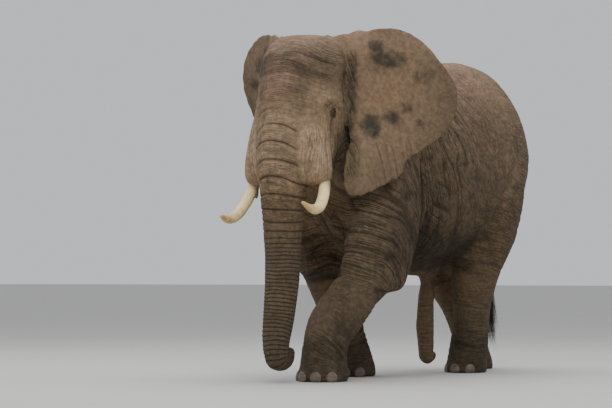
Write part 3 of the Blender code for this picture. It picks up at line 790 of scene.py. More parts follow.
def shape_ear(f, head, side, guide):
    """Broad waves, ribs down the lobe and a fold to the notch."""
    hinge, out_way, front_way = ear_axes(head, side)
    away = f.at - hinge
    out, up, depth = away @ out_way, away[:, 2], away @ front_way
    inside = gap_to(f, f"ear_{side}", 0.04) < 0.035
    blade = relax(inside[:, None].astype(float), f.edges, 5, 1.0)[:, 0]
    free = blade * ramp(out, 0.04, 0.24)
    true_rim(f, out, up, out_way, inside, ((guide - hinge) @ out_way, guide[:, 2] - hinge[2]))
    tuck = blade * fall(out, 0.0, 0.12) * bell(up, -0.13, 0.09)
    f.shift -= out_way * (EAR_TUCK * tuck)[:, None]

    sheet = np.column_stack([out, up, 0 * out])
    wave = 0.018 * noise(sheet * (3.2, 2.2, 1), 41) + 0.005 * noise(sheet * (8, 5, 1), 42)
    lobe = fall(up, -0.42, -0.05)
    fan = out + 0.22 * (up + 0.7)
    turn = fan / 0.085 * math.tau + 2.2 * noise(sheet * (4, 2, 1), 43)
    ribs = np.cos(turn) + 0.5 * np.cos(2.3 * turn + 1)
    wave += 0.0045 * ribs * lobe
    wave *= 1 - 0.8 * ramp(up, 0.45, 0.75)
    if side == "left":
        crease = out - 0.30 - 0.42 * np.clip(-0.02 - up, 0, 0.6)
        wave -= 0.016 * bell(crease, 0, 0.026) * bell(up, -0.28, 0.20)
    f.shift += front_way * (wave * free)[:, None]
    # Painted shade in the troughs between the ribs
    f.stain("groove", 0.40 * free * ramp(-ribs, 0.3, 1.3) * lobe)
    f.wrinkle("c", free * (0.08 + 0.20 * lobe), 0.026, fan, up, 0 * up, 9)
    crumple_root(f, out, up, depth, np.abs(away[:, 0]) < 0.5)

    # Colours of the blade: thin warm skin in the middle, darker outskirts, streaks and stains
    f.stain("smooth", blade * ramp(out, -0.06, 0.05))
    f.stain("warm", 0.55 * free * bell(out, 0.34, 0.22) * bell(up, 0.20, 0.20))
    outskirts = np.maximum(ramp(out, 0.50, 0.95), ramp(up, 0.45, 0.85))
    f.stain("dark", 0.42 * free * outskirts)
    f.stain("dark", 0.30 * free * ramp(np.cos(turn * 1.7), 0.2, 1.0) * lobe)
    ragged = 1 + 0.30 * noise(f.at * 16, 46) + 0.20 * noise(f.at * 45, 47)
    for place, level, wide, tall in EAR_STAINS:
        gap = np.sqrt(((out - place) / wide) ** 2 + ((up - level) / tall) ** 2) * ragged
        f.stain("dark", blade * (depth > -0.06) * fall(gap, 0.80, 1.22))
    return np.clip(blade, 0, 1)


def crumple_root(f, out, up, depth, near):
    """Creases down an ear's root and a valley behind the cheek, both darkened with painted shade, and a
    seam that closes its top.
    """
    root = bell(out, -0.02, 0.060) * ramp(depth, -0.10, 0.0) * (np.abs(depth) < 0.4)
    root = root * ramp(up, -0.75, -0.5) * near * fall(up, 0.50, 0.68)
    valley = bell(out, -0.015, 0.032) * (root > 0.03) * ramp(up, -0.3, -0.1) * fall(up, 0.05, 0.55)
    f.lift -= 0.024 * valley
    # Painted shade in the valley, in a spot at the root's middle, and down the root's creases
    f.stain("dark", 0.8 * valley)
    f.stain("dark", bell(out, -0.02, 0.030) * bell(up, -0.05, 0.075) * (root > 0.02))
    slant = out + 0.35 * up
    f.cut(creases(slant, up, depth, 0.034, 5, 44), 0.0090 * root)
    f.stain("dark", 0.50 * root)
    f.wrinkle("b", 0.75 * root, 0.024, slant, up, depth, 5)
    seam = np.maximum(0.9 * bell(up, -0.08, 0.09), 0.30 * bell(up, 0.10, 0.16))
    f.stain("join", seam * bell(out, 0.0, 0.06) * (np.abs(depth) < 0.30) * near)


# The reaching leg's back, below the elbow, and its front
WRIST_REAR = (0.35, 0.66, -0.66)
WRIST_FRONT = (-0.60, -0.76, 0.25)


def bend_wrist(f, inside, offset):
    """The reaching leg: hollow under the elbow's heel, and full before the wrist and upper arm."""
    z = f.at[:, 2]
    ways = offset / np.maximum(np.linalg.norm(offset, axis=1), 1e-6)[:, None]
    rear = inside * ramp(ways @ np.array(WRIST_REAR), 0.15, 0.80)
    ahead = inside * ramp(ways @ np.array(WRIST_FRONT), 0.20, 0.85)
    f.lift -= 0.082 * rear * fall(z, 0.765, 0.875) * ramp(z, 0.15, 0.62)
    f.lift += 0.014 * rear * bell(z, 0.92, 0.06)
    f.lift += ahead * (0.040 * bell(z, 0.60, 0.14) + 0.050 * bell(z, 1.30, 0.17))
    # Painted shade in the crease under the elbow's heel
    f.stain("groove", 0.6 * rear * bell(z, 0.83, 0.030))


# How thick a leg is, by the height above its sole
LEG_HEIGHT = (0, 0.3, 0.7, 1.1, 1.7)
LEG_RADIUS = (0.28, 0.26, 0.32, 0.42, 0.58)
# Close folds at wrist, knee and toes: height, half the band's height, spacing, stretch, seed, depth
LEG_FOLDS = (
    (0.34, 0.15, 0.044, 9, 58, 0.0080),
    (0.72, 0.12, 0.044, 7, 62, 0.0040),
    (0.17, 0.06, 0.030, 8, 66, 0.0040),
)


def fold_legs(f, sizes, elsewhere):
    """Folds round each leg: slanting down and back over the shoulder, close at wrist and knee."""
    x, y, z = f.at.T
    for number, leg in enumerate(LEGS):
        fore, sign = leg.startswith("fore"), SIDES[leg.split("_")[1]]
        path = leg_path(leg)
        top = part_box(f"{leg}_upper")[1].z
        run, offset = along_path(path, f.at)
        total = along_path(path, path[-1:])[0][0]
        above = total - run - 0.07
        size = np.interp(above, LEG_HEIGHT, LEG_RADIUS)
        inside = fall(np.linalg.norm(offset, axis=1) / size, 1.10, 1.45)
        inside *= fall(z, top - 0.10, top + 0.40) * (1 - elsewhere)
        inside *= 1 - ramp(z, 1.0, 1.25) * fall(sign * x, 0.0, 0.14)
        if leg == "foreleg_left":
            bend_wrist(f, inside, offset)

        lean = (0.60 if fore else 0.15) * ramp(above, 0.65, 1.15)
        back = np.clip(offset[:, 1] + 0.15, 0, 0.6)
        slant = above + lean * back * (0.4 + back) * 1.6 + 0.016 * noise(f.at * 4, 50 + number)
        upper = inside * ramp(above, 0.85, 1.12)
        strong = creases(slant, x, y, 0.060, 10, 54 + number, 0.13)
        f.cut(strong, sizes.fold_depth * upper * (1.1 if fore else 0.5))
        f.wrinkle("a", upper * (1.0 if fore else 0.7), 0.030, slant, x, y, 14)
        for level, tall, spacing, stretch, seed, depth in LEG_FOLDS:
            band = inside * bell(above, level, tall)
            f.cut(creases(above, x, y, spacing, stretch, seed + number), depth * band)
        shin = inside * (0.45 + 0.35 * bell(above, 0.30, 0.25)) * fall(above, 0.85, 1.05)
        f.wrinkle("a", shin, 0.025, slant, x, y, 7)

        f.stain("dark", 0.80 * inside * fall(above, 0.35, 1.05))
        if not fore:
            f.stain("warm", 0.6 * inside * bell(above, 1.1, 0.5))
        inner = ramp(-sign * offset[:, 0], 0.0, 0.14) * ramp(above, 0.50, 0.9)
        elbow = ramp(offset[:, 1], 0.08, 0.24) * bell(above, 1.05, 0.32) * fore
        f.stain("warm", 0.85 * inside * np.maximum(inner, elbow))


def fold_body(f, sizes, elsewhere):
    """Steep folds behind the shoulder, a net over the rump, and level folds behind."""
    x, y, z = f.at.T
    side = np.abs(x)
    body = ramp(y, -1.00, -0.70) * ramp(z, 1.0, 1.15) * (1 - elsewhere)
    lean = y + 0.38 * z + 0.03 * noise(f.at * 2.5, 70)
    flank = body * fall(y, 0.75, 1.25) * ramp(side, 0.10, 0.35)
    depth = sizes.fold_depth * flank * (0.30 + 0.80 * bell(y, -0.15, 0.50))
    f.cut(creases(lean, z, side, 0.055, 7, 71, 0.15), depth * (1 - 0.5 * ramp(z, 2.5, 3.0)))
    f.wrinkle("b", flank * (0.75 + 0.25 * bell(y, -0.1, 0.5)), 0.037, lean, z, side, 5)

    fainter = 1 - 0.6 * ramp(z, 2.4, 2.9)
    rising, falling = z + 0.7 * y, y - z
    f.cut(creases(rising, falling, side, 0.060, 3, 72), 0.0035 * body * ramp(y, -0.2, 0.4) * fainter)
    rump = body * ramp(y, 0.60, 1.10)
    f.cut(creases(z - 0.5 * y, y, side, 0.055, 3, 73), 0.0030 * rump * fainter)
    net = 0.55 * body * ramp(y, -0.35, 0.2) * fall(y, 1.0, 1.3)
    f.wrinkle("c", net, 0.034, rising, falling, x, 4)
    crossing = 0.45 * body * bell(y, 1.05, 0.45) * ramp(z, 1.9, 2.2)
    f.wrinkle("a", crossing, 0.034, z - 0.8 * y, z, x, 3)

    haunch = body * ramp(y, 1.15, 1.50)
    level = z + 0.10 * y + 0.03 * noise(f.at * 3, 76)
    f.cut(creases(level, x, 0.5 * y, 0.050, 8, 74, 0.12), 0.0045 * haunch * bell(z, 1.9, 0.5))
    f.wrinkle("c", 0.70 * haunch, 0.032, level, x, 0.5 * y, 6)
    f.wrinkle("b", 0.35 * haunch * ramp(y, 1.35, 1.7), 0.036, x, z, y, 3)
    shape_body(f, side, lean)
    fold_belly(f, side, elsewhere)


def shape_body(f, side, lean):
    """A crease from hip to groin, one behind the arm, the spine's ridge and faint ribs."""
    x, y, z = f.at.T
    groin = y - 0.98 - 0.40 * (z - 1.55) - 0.25 * np.maximum(z - 1.9, 0)
    f.lift -= 0.030 * bell(groin, 0, 0.065) * bell(z, 1.62, 0.42) * ramp(side, 0.25, 0.5)
    armpit = y + 0.30 + 0.10 * (z - 1.5)
    f.lift -= 0.022 * bell(armpit, 0, 0.05) * bell(z, 1.75, 0.40) * ramp(side, 0.35, 0.5)
    spine = 0.016 * bell(x, 0, 0.07) * ramp(z, 2.85, 3.0) * ramp(y, -0.9, -0.5)
    f.lift += spine * fall(y, 1.6, 1.9)
    ribs = np.cos(lean / 0.17 * math.tau) * bell(z, 2.0, 0.45) * bell(y, 0.2, 0.5)
    f.lift += 0.005 * (ribs * ramp(side, 0.4, 0.6))


def fold_belly(f, side, elsewhere):
    """Painted shadow on the underside, ochre sides of the belly, and upright folds down the breast."""
    x, y, z = f.at.T
    belly = fall(z, 1.25, 1.75) * ramp(z, 1.0, 1.06) * (1 - elsewhere)
    under = belly * ramp(y, -0.7, -0.3) * fall(y, 1.0, 1.4)
    sideways = fall(-f.normal[:, 2], 0.25, 0.70)
    f.stain("warm", 0.75 * under * sideways)
    # Painted shadow on the underside that faces down
    f.stain("dark", 0.95 * under * (1 - sideways))
    f.wrinkle("a", 0.60 * under * fall(z, 1.15, 1.40), 0.034, y, x, z, 6)
    breast = fall(y, -0.85, -0.55) * fall(z, 1.85, 2.15) * fall(side, 0.12, 0.34)
    breast = breast * ramp(z, 1.0, 1.15) * (1 - elsewhere)
    f.cut(creases(x, z, y, 0.05, 6, 75), 0.006 * breast)
    f.wrinkle("c", 0.8 * breast, 0.026, x, z, y, 6)
    f.stain("warm", 0.85 * breast)


def shape_penis(f):
    """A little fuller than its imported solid, and ringed with wrinkles."""
    x, y, z = f.at.T
    hanging = fall(gap_to(f, "penis", 0.05), 0.02, 0.05)
    f.lift += 0.014 * hanging * fall(z, 0.75, 0.95) * ramp(z, 0.08, 0.16)
    f.wrinkle("b", 0.45 * hanging, 0.040, z, x, y, 5)
    f.stain("warm", 0.6 * hanging)


def settle_dust(f, low, trunk, blades):
    """Dust on the back, the crown and the ears, and darker skin towards the bottom."""
    below_head = 1 - ramp(-f.at[:, 1], 1.3, 1.5) * ramp(low, 1.7, 1.9)
    f.stain("dark", 0.49 * fall(low, 0.9, 2.4) * below_head)
    f.dust = ramp(f.normal[:, 2], 0.0, 0.9) * ramp(low, 2.0, 2.9)
    crown = ramp(f.head[:, 1], -0.2, 0.1) * fall(np.abs(f.head[:, 0]), 0.10, 0.26)
    f.dust += 0.75 * crown * ramp(f.head[:, 2], 0.0, 0.2) * (1 - trunk)
    f.stain("dust", 0.22 * blades)


def make_skin(sizes, eyes):
    """Fuse the flesh into one mesh, then shape each region and mark it for the material."""
    head = Head()
    skin, guides = raw_skin(sizes, head)
    refine_round_eyes(skin)
    f = Fields(skin.data, head)
    sockets = [eye_axes(f, head, side) for side in SIDES]
    blades = np.maximum(*[shape_ear(f, head, side, guides[side]) for side in SIDES])
    tail = shape_tail(f)
    trunk = fold_trunk(f, sizes, trunk_path(head), head)
    fold_face(f, blades)
    headed = ramp(-f.at[:, 1], 0.98, 1.22) * ramp(f.at[:, 2], 1.6, 1.9) + blades + trunk + tail
    headed = np.clip(headed, 0, 1)
    fold_legs(f, sizes, headed)
    fold_body(f, sizes, headed)
    shape_penis(f)
    fine = creases(f.at[:, 2], f.at[:, 1], f.at[:, 0], 0.06, 1.6, 81, 0.14)
    plain = 1 - blades
    f.cut(fine, 0.0022 * plain * (1 - 0.8 * trunk))
    f.lift += 0.007 * noise(f.at * 3.3, 82) * plain
    for side in SIDES:
        away = np.linalg.norm(f.at - np.array(middle(f"eye_{side}")), axis=1)
        f.lift *= ramp(away, 0.04, 0.09)

    # The lids are folded last, over the lifted skin
    f.at = f.at + f.normal * f.lift[:, None] + f.shift
    f.at = relax(f.at, f.edges, 30, f.join)
    f.shift[:] = 0
    f.head = head.local(f.at)
    for axes in sockets:
        fold_round_eye(f, sizes, axes, eyes.radius)
    moved = f.at + f.shift
    moved[:, 2] = np.maximum(moved[:, 2], 0.0)
    settle_dust(f, moved[:, 2], trunk, blades)
    place_points(skin.data, moved)
    for name in MARKS:
        store(skin.data, name, getattr(f, name))
    for name in FLOWS:
        store(skin.data, f"flow_{name}", f.flows[name])
        store(skin.data, f"wrinkled_{name}", f.amounts[name])
    return skin


def thin_out(skin, faces):
    """Fewer faces where the skin is plain. Its marks stay with the points that are left."""
    bm = bmesh.new()
    bm.from_mesh(skin.data)
    bmesh.ops.triangulate(bm, faces=bm.faces)
    bm.to_mesh(skin.data)
    bm.free()
    apply_modifier(skin, "DECIMATE", ratio=min(1.0, faces / len(skin.data.polygons)))
    skin.data.polygons.foreach_set("use_smooth", np.ones(len(skin.data.polygons), bool))
    skin.data.update()


# ---------------------------------------------------------------- materials

LIP_GRIME = (0.22, 0.14, 0.085)
CRACK_DIRT = (0.20, 0.13, 0.07)
PUPIL = (0.004, 0.003, 0.003)
MUD = (0.085, 0.065, 0.050)
# How bright the clouds are beside the hairs' own colour, and beside the floor's
HAIR_SHEEN = 2.6
FLOOR_SHADE = 0.94


class Surface:
    """A material in the making: short names for its nodes, and the places on the piece."""

    def __init__(self, name, sockets):
        self.material = bpy.data.materials.new(name)
        self.material.use_nodes = True
        self.tree = self.material.node_tree
        self.shader = self.tree.nodes["Principled BSDF"]
        for socket, value in sockets.items():
            self.shader.inputs[socket].default_value = value
        self.place = self.add("TexCoord").outputs["Object"]

    def add(self, kind, values=None, **settings):
        """A shader node, with its settings and with values or links for its inputs."""
        made = self.tree.nodes.new(f"ShaderNode{kind}")
        for name, value in settings.items():
            setattr(made, name, value)
        for key, value in (values or {}).items():
            if isinstance(value, bpy.types.NodeSocket):
                self.tree.links.new(value, made.inputs[key])
            else:
                made.inputs[key].default_value = value
        return made

    def give(self, socket, value):
        self.tree.links.new(value, self.shader.inputs[socket])

    def emboss(self, height):
        """Raise the surface by a height in metres."""
        bump = self.add("Bump", {"Height": height, "Strength": 1.0, "Distance": 1.0})
        self.give("Normal", bump.outputs[0])

    def maths(self, operation, *values, clamp=False):
        return self.add("Math", dict(enumerate(values)), operation=operation, use_clamp=clamp).outputs[0]

    def times(self, first, second):
        return self.maths("MULTIPLY", first, second)

    def times_plus(self, first, second, third, clamp=False):
        return self.maths("MULTIPLY_ADD", first, second, third, clamp=clamp)

    def minus(self, first, second):
        return self.maths("SUBTRACT", first, second)

    def most(self, first, second, clamp=False):
        return self.maths("MAXIMUM", first, second, clamp=clamp)

    def spread(self, value, low, high, to_low=0.0, to_high=1.0):
        """Map a value from one range to another, smoothly and held at the ends."""
        inputs = {"Value": value, "From Min": low, "From Max": high, "To Min": to_low, "To Max": to_high}
        return self.add("MapRange", inputs, interpolation_type="SMOOTHSTEP").outputs["Result"]

    def blend(self, share, first, second):
        """Mix two colours. A colour node's own sockets are 0 for the share, and 6 and 7."""
        inputs = {0: share, 6: first, 7: second}
        return self.add("Mix", inputs, data_type="RGBA", clamp_factor=True).outputs[2]

    def read(self, name):
        return self.add("Attribute", attribute_name=name).outputs["Fac"]

    def grain(self, place, scale, detail=3.0, roughness=0.55, output="Fac"):
        inputs = {"Vector": place, "Scale": scale, "Detail": detail, "Roughness": roughness}
        return self.add("TexNoise", inputs).outputs[output]

    def vectors(self, operation, values):
        return self.add("VectorMath", values, operation=operation).outputs[0]

    def stretched(self, scale):
        return self.add("Mapping", {"Vector": self.place, "Scale": scale}).outputs[0]

    def cracks(self, place, scale, wide):
        """1 on the plates between cracks, falling to 0 in them."""
        edge = self.add("TexVoronoi", {"Vector": place, "Scale": scale}, feature="DISTANCE_TO_EDGE")
        return self.spread(edge.outputs["Distance"], 0.0, wide)

    def wandering(self, amount, scale):
        """Places shaken a little, so that cracks don't run straight."""
        shake = self.grain(self.place, scale, 2.0, 0.5, "Color")
        centred = self.vectors("SUBTRACT", {0: shake, 1: (0.5, 0.5, 0.5)})
        scaled = self.vectors("SCALE", {0: centred, "Scale": amount})
        return self.vectors("ADD", {0: self.place, 1: scaled})


def paint(colour, shade=1.0):
    """A colour as a node wants it, darker or lighter by `shade`."""
    return [c * shade for c in colour] + [1]


def wrinkles(skin, name):
    """0 in the wrinkles of one flow and 1 between them, with how deep they are here."""
    flow = skin.add("Attribute", attribute_name=f"flow_{name}").outputs["Vector"]
    shake = skin.grain(skin.place, 22.0, 1.0, 0.5, "Color")
    moved = skin.vectors("MULTIPLY_ADD", {0: shake, 1: (0.45, 0.3, 0.3), 2: flow})
    field = skin.minus(skin.grain(moved, 1.0, 1.5, 0.5), 0.5)
    across = skin.add("SeparateXYZ", {0: moved}).outputs["X"]
    bent = skin.times_plus(across, 5.2, skin.times(skin.grain(flow, 0.35, 1.0), 7.0))
    away = skin.maths("ABSOLUTE", skin.times_plus(skin.maths("SINE", bent), 0.12, field))
    patchy = skin.spread(skin.grain(skin.place, 7.0, 2.0), 0.30, 0.60, 0.45, 1.0)
    return skin.spread(away, 0.0, 0.100), skin.times(skin.read(f"wrinkled_{name}"), patchy)


def hide_material(colours):
    """Dry hide: wrinkles that follow the form, small plates, dust, stains, and painted shade in the
    creases and cracks.
    """
    skin = Surface("hide", {"Roughness": 0.86, "Specular IOR Level": 0.25})
    shaken = skin.wandering(0.030, 14.0)
    plain = skin.minus(1.0, skin.times(skin.read("smooth"), 0.80))

    plates = skin.times(skin.cracks(shaken, 66.0, 0.35), plain)
    height = skin.times(plates, 0.0014)
    # Painted shade in the cracks between the plates and along each wrinkle
    painted_crease_shade = skin.times(skin.minus(plain, plates), 0.12)
    for name in FLOWS:
        lines, amount = wrinkles(skin, name)
        height = skin.times_plus(skin.times(lines, amount), 0.0100, height)
        shade = skin.times(skin.minus(1.0, lines), amount)
        painted_crease_shade = skin.most(painted_crease_shade, skin.times(shade, 0.74))
    apart = skin.times(skin.maths("PINGPONG", skin.read("ring"), 0.5), skin.read("ring_gap"))
    rings, ringed = skin.spread(apart, 0.0005, 0.0075), skin.read("ring_depth")
    height = skin.times_plus(skin.times(rings, ringed), 0.0060, height)
    skin.emboss(skin.times_plus(skin.grain(skin.place, 130.0, 3.0), 0.0012, height))

    # Each layer's mark, and how the mottle or the broad clouds break it up
    mottle = skin.grain(shaken, 6.5, 5.0, 0.62)
    clouds = skin.grain(skin.place, 1.7, 4.0)
    dusted = skin.spread(mottle, 0.38, 0.72, 0.0, 0.40)
    tint = skin.blend(dusted, paint(colours.hide), paint(colours.dust))
    for mark, patches, colour in (
        ("warm", skin.spread(mottle, 0.25, 0.60), colours.warm),
        ("dust", skin.spread(clouds, 0.28, 0.60), colours.dust),
        ("pale", skin.spread(mottle, 0.25, 0.60, 0.45, 1.0), colours.pale),
        ("dark", skin.spread(mottle, 0.28, 0.50, 0.60, 1.0), colours.dark),
    ):
        tint = skin.blend(skin.times(skin.read(mark), patches), tint, paint(colour))
    blotch = skin.spread(skin.grain(skin.place, 3.2, 4.0, 0.6), 0.54, 0.74, 0.0, 0.38)
    cleaner = skin.times_plus(skin.read("dust"), -0.6, 1.0, clamp=True)
    tint = skin.blend(skin.times(blotch, cleaner), tint, paint(colours.dark))
    # Painted shade in the marked grooves and the trunk's ring grooves, laid on in the dark colour
    painted_crease_shade = skin.most(painted_crease_shade, skin.times(skin.read("groove"), 0.78))
    painted_ring_shade = skin.times(skin.minus(1.0, rings), skin.times(ringed, 0.75))
    painted_crease_shade = skin.most(painted_crease_shade, painted_ring_shade, clamp=True)
    tint = skin.blend(painted_crease_shade, tint, paint(colours.dark, 0.42))
    speckle = skin.spread(skin.grain(shaken, 24.0, 5.0, 0.7), 0.34, 0.66, 0.78, 1.20)
    skin.give("Base Color", skin.vectors("SCALE", {0: tint, "Scale": speckle}))
    skin.give("Roughness", skin.spread(mottle, 0.2, 0.8, 0.76, 0.94))
    return skin.material


def ivory_material(looks):
    """Ivory, clean by the lip and stained to the tip, with long cracks and scratches."""
    tusk = Surface("ivory", {"Roughness": 0.36, "Specular IOR Level": 0.35})
    share = tusk.read("toward_tip")
    cloud = tusk.grain(tusk.place, 16.0, 5.0, 0.6)
    stain = tusk.maths("ADD", share, tusk.times(tusk.minus(cloud, 0.5), 1.3))
    tint = tusk.blend(tusk.spread(stain, 0.25, 0.95), paint(looks.ivory), paint(looks.tip))
    tint = tusk.blend(tusk.spread(share, 0.02, 0.16, 0.75, 0.0), tint, paint(LIP_GRIME))
    split = tusk.cracks(tusk.stretched((90.0, 22.0, 22.0)), 1.0, 0.05)
    tint = tusk.blend(tusk.spread(split, 0.0, 1.0, 0.16, 0.0), tint, paint(CRACK_DIRT))
    tusk.give("Base Color", tint)
    tusk.emboss(tusk.times_plus(tusk.grain(tusk.place, 60.0, 4.0), 0.0016, tusk.times(split, 0.0003)))
    tusk.give("Roughness", tusk.spread(cloud, 0.3, 0.7, 0.30, 0.52))
    return tusk.material


def eye_material(looks):
    """A dark pupil in a streaked iris, under a clear coat."""
    eye = Surface("eye", {"Roughness": 0.12, "Coat Weight": 0.25, "Coat Roughness": 0.08})
    gaze = eye.read("gaze")
    streaked = eye.times_plus(eye.minus(eye.grain(eye.place, 260.0, 2.0), 0.5), 0.10, gaze)
    tint = eye.blend(eye.spread(streaked, 0.46, 0.60), paint(looks.iris), paint(looks.rim))
    eye.give("Base Color", eye.blend(eye.spread(gaze, 0.20, 0.26, 1.0, 0.0), tint, paint(PUPIL)))
    return eye.material


def horn_material(looks):
    """Level bands in the horn, and mud."""
    nail = Surface("horn", {"Roughness": 0.55})
    bands = nail.grain(nail.stretched((14.0, 14.0, 90.0)), 1.0, 3.0)
    tint = nail.blend(nail.spread(bands, 0.35, 0.65), paint(looks.horn), paint(looks.horn, 0.55))
    mud = nail.spread(nail.grain(nail.place, 20.0, 4.0), 0.48, 0.66, 0.0, 0.8)
    nail.give("Base Color", nail.blend(mud, tint, paint(MUD)))
    nail.emboss(nail.times(bands, 0.0016))
    return nail.material


def clouded_material(name, roughness, colour, shade, scale, detail):
    """One colour that drifts to a lighter or darker one."""
    plain = Surface(name, {"Roughness": roughness})
    clouds = plain.grain(plain.place, scale, detail)
    plain.give("Base Color", plain.blend(clouds, paint(colour), paint(colour, shade)))
    return plain.material


# ---------------------------------------------------------------- operators

# The skin may have no more triangles than this
MOST_FACES = 200000


class ELEPHANT_OT_skin(bpy.types.Operator):
    """One skin over all the flesh, with its folds, ears, lids and markings"""

    bl_idname = "elephant.skin"
    bl_label = "Skin"

    def execute(self, context):
        scene = context.scene
        skin = make_skin(scene.skin_sizes, scene.eye_looks)
        thin_out(skin, scene.skin_sizes.faces)
        if len(skin.data.polygons) > MOST_FACES:
            raise RuntimeError("the skin has too many faces")
        nodes = [*FLESH, "ear_left", "ear_right", "tail"]
        finish(skin, nodes, hide_material(scene.skin_colours))
        return {"FINISHED"}


def tusk_line(points, share, bands=24):
    """The middle of the tusk beside each of its points."""
    band = np.minimum((share * bands).astype(int), bands - 1)
    count = np.bincount(band, minlength=bands)
    full = np.nonzero(count)[0]
    centres = (full + 0.5) / bands
    line = np.empty_like(points)
    for axis in range(3):
        means = np.bincount(band, points[:, axis], bands)[full] / count[full]
        line[:, axis] = np.interp(share, centres, means)
    return line


def shape_tusk(tusk, looks):
    """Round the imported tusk, wear it, and draw its tip to a blunt point."""
    pick(tusk)
    bpy.ops.object.mode_set(mode="EDIT")
    bpy.ops.mesh.select_all(action="SELECT")
    flat = math.radians(60)
    bpy.ops.mesh.tris_convert_to_quads(face_threshold=flat, shape_threshold=flat)
    bpy.ops.object.mode_set(mode="OBJECT")
    apply_modifier(tusk, "SUBSURF", levels=3, render_levels=3)
    points, normals = points_of(tusk.data), normals_of(tusk.data)
    root, tip = points[np.argmax(points[:, 2])], points[np.argmin(points[:, 1])]
    share = np.clip((root[1] - points[:, 1]) / (root[1] - tip[1]), 0, 1)
    swell = 0.0022 * fall(share, 0.85, 1.0)
    dents = looks.wear * noise(points * 30, 91) + 0.5 * looks.wear * noise(points * 90, 92)
    line = tusk_line(points, share)
    narrow = 1 - looks.taper * ramp(share, 0.55, 1.0)
    points = line + (points - line) * narrow[:, None]
    place_points(tusk.data, points + normals * (swell + dents)[:, None])
    store(tusk.data, "toward_tip", share)
    tusk.data.shade_smooth()


class ELEPHANT_OT_tusks(bpy.types.Operator):
    """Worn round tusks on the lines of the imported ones"""

    bl_idname = "elephant.tusks"
    bl_label = "Tusks"

    def execute(self, context):
        looks = context.scene.tusk_looks
        ivory = ivory_material(looks)
        for side in SIDES:
            tusk = copy_of([f"tusk_{side}"], f"ivory_{side}")
            shape_tusk(tusk, looks)
            finish(tusk, [f"tusk_{side}"], ivory)
        return {"FINISHED"}


def new_ball(name, segments, rings, radius, spot=(0, 0, 0), scale=(1, 1, 1)):
    """A ball with its place and its scale kept in its mesh."""
    deselect()
    bpy.ops.mesh.primitive_uv_sphere_add(
        segments=segments, ring_count=rings, radius=radius, location=spot
    )
    ball = bpy.context.active_object
    ball.name = name
    ball.scale = scale
    bpy.ops.object.transform_apply(location=True, rotation=True, scale=True)
    return ball


class ELEPHANT_OT_eyes(bpy.types.Operator):
    """Wet brown eyeballs with a raised cornea"""

    bl_idname = "elephant.eyes"
    bl_label = "Eyes"

    def execute(self, context):
        looks = context.scene.eye_looks
        wet = eye_material(looks)
        head = Head()
        for side, sign in SIDES.items():
            spot = middle(f"eye_{side}")
            ball = new_ball(f"eyeball_{side}", 48, 32, looks.radius, spot)
            gaze = (head.across * sign + head.ahead * 0.75 - Vector((0, 0, 0.10))).normalized()
            points = points_of(ball.data) - np.array(spot)
            angle = np.arccos(np.clip(points @ np.array(gaze) / looks.radius, -1, 1))
            bulge = 1 + 0.07 * fall(angle, 0.45, 0.75)
            place_points(ball.data, points * bulge[:, None] + np.array(spot))
            store(ball.data, "gaze", angle)
            ball.data.shade_smooth()
            finish(ball, [f"eye_{side}"], wet)
        return {"FINISHED"}


# A nail's lower edge is this share of its height below its middle
NAIL_EDGE = 0.45
# How deep a nail's middle lies under the skin, and how high its edge is above the floor
NAIL_SINK = 0.017
NAIL_CLEARANCE = 0.004


def one_nail(looks, name):
    """A blunt nail at the origin that faces -Y: domed, thicker below, with a flat lower edge."""
    edge = looks.height * NAIL_EDGE
    nail = new_ball(name, 24, 16, 0.5, scale=(looks.width, looks.width * 0.50, looks.height * 1.25))
    bpy.ops.object.mode_set(mode="EDIT")
    bpy.ops.mesh.select_all(action="SELECT")
    bpy.ops.mesh.bisect(plane_co=(0, 0, -edge), plane_no=(0, 0, -1), clear_outer=True, use_fill=True)
    bpy.ops.mesh.select_all(action="SELECT")
    bpy.ops.mesh.normals_make_consistent(inside=False)
    bpy.ops.object.mode_set(mode="OBJECT")
    points = points_of(nail.data)
    lower = fall(points[:, 2], -edge, looks.height * 0.3)
    points[:, 1] *= 1 + 0.30 * lower
    points[:, 0] *= 1 + 0.10 * lower
    place_points(nail.data, points)
    return nail


def nails_of(foot, looks, flesh):
    """The nails of one foot, set into the skin round its front, as one piece."""
    count = 4 if foot.startswith("fore") else 3
    sole = points_of(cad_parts[foot].data)
    sole = sole[sole[:, 2] < 0.015]
    radius = np.ptp(sole[:, 0]) / 2
    centre = Vector((sole[:, 0].min() + radius, sole[:, 1].max() - radius, 0))
    lift = Vector((0, 0, looks.height * NAIL_EDGE + NAIL_CLEARANCE))
    nails = []
    for i in range(count):
        turn = (i - (count - 1) / 2) * looks.step
        away = Vector((math.sin(turn), -math.cos(turn), 0))
        face = flesh.ray_cast(centre + away * 0.9 + lift, -away)[0]
        if face is None:
            raise RuntimeError(f"no skin where a nail of {foot} belongs")
        nail = one_nail(looks, f"{foot}_nail_{i}")
        nail.data.transform(Matrix.Translation(face - away * NAIL_SINK) @ Matrix.Rotation(turn, 4, "Z"))
        nails.append(nail)
    join(nails, nails[0])
    nails[0].name = f"{foot}_nails"
    nails[0].data.shade_smooth()
    return nails[0]


class ELEPHANT_OT_toenails(bpy.types.Operator):
    """Blunt horn nails round the front of each foot: four before, three behind"""

    bl_idname = "elephant.toenails"
    bl_label = "Toenails"

    def execute(self, context):
        looks = context.scene.nail_looks
        horn = horn_material(looks)
        if "skin" not in bpy.data.objects:
            raise RuntimeError("the toenails are set into the skin, so make the skin first")
        flesh = BVHTree.FromObject(bpy.data.objects["skin"], context.evaluated_depsgraph_get())
        for leg in LEGS:
            finish(nails_of(leg.replace("leg", "foot"), looks, flesh), [], horn)
        return {"FINISHED"}


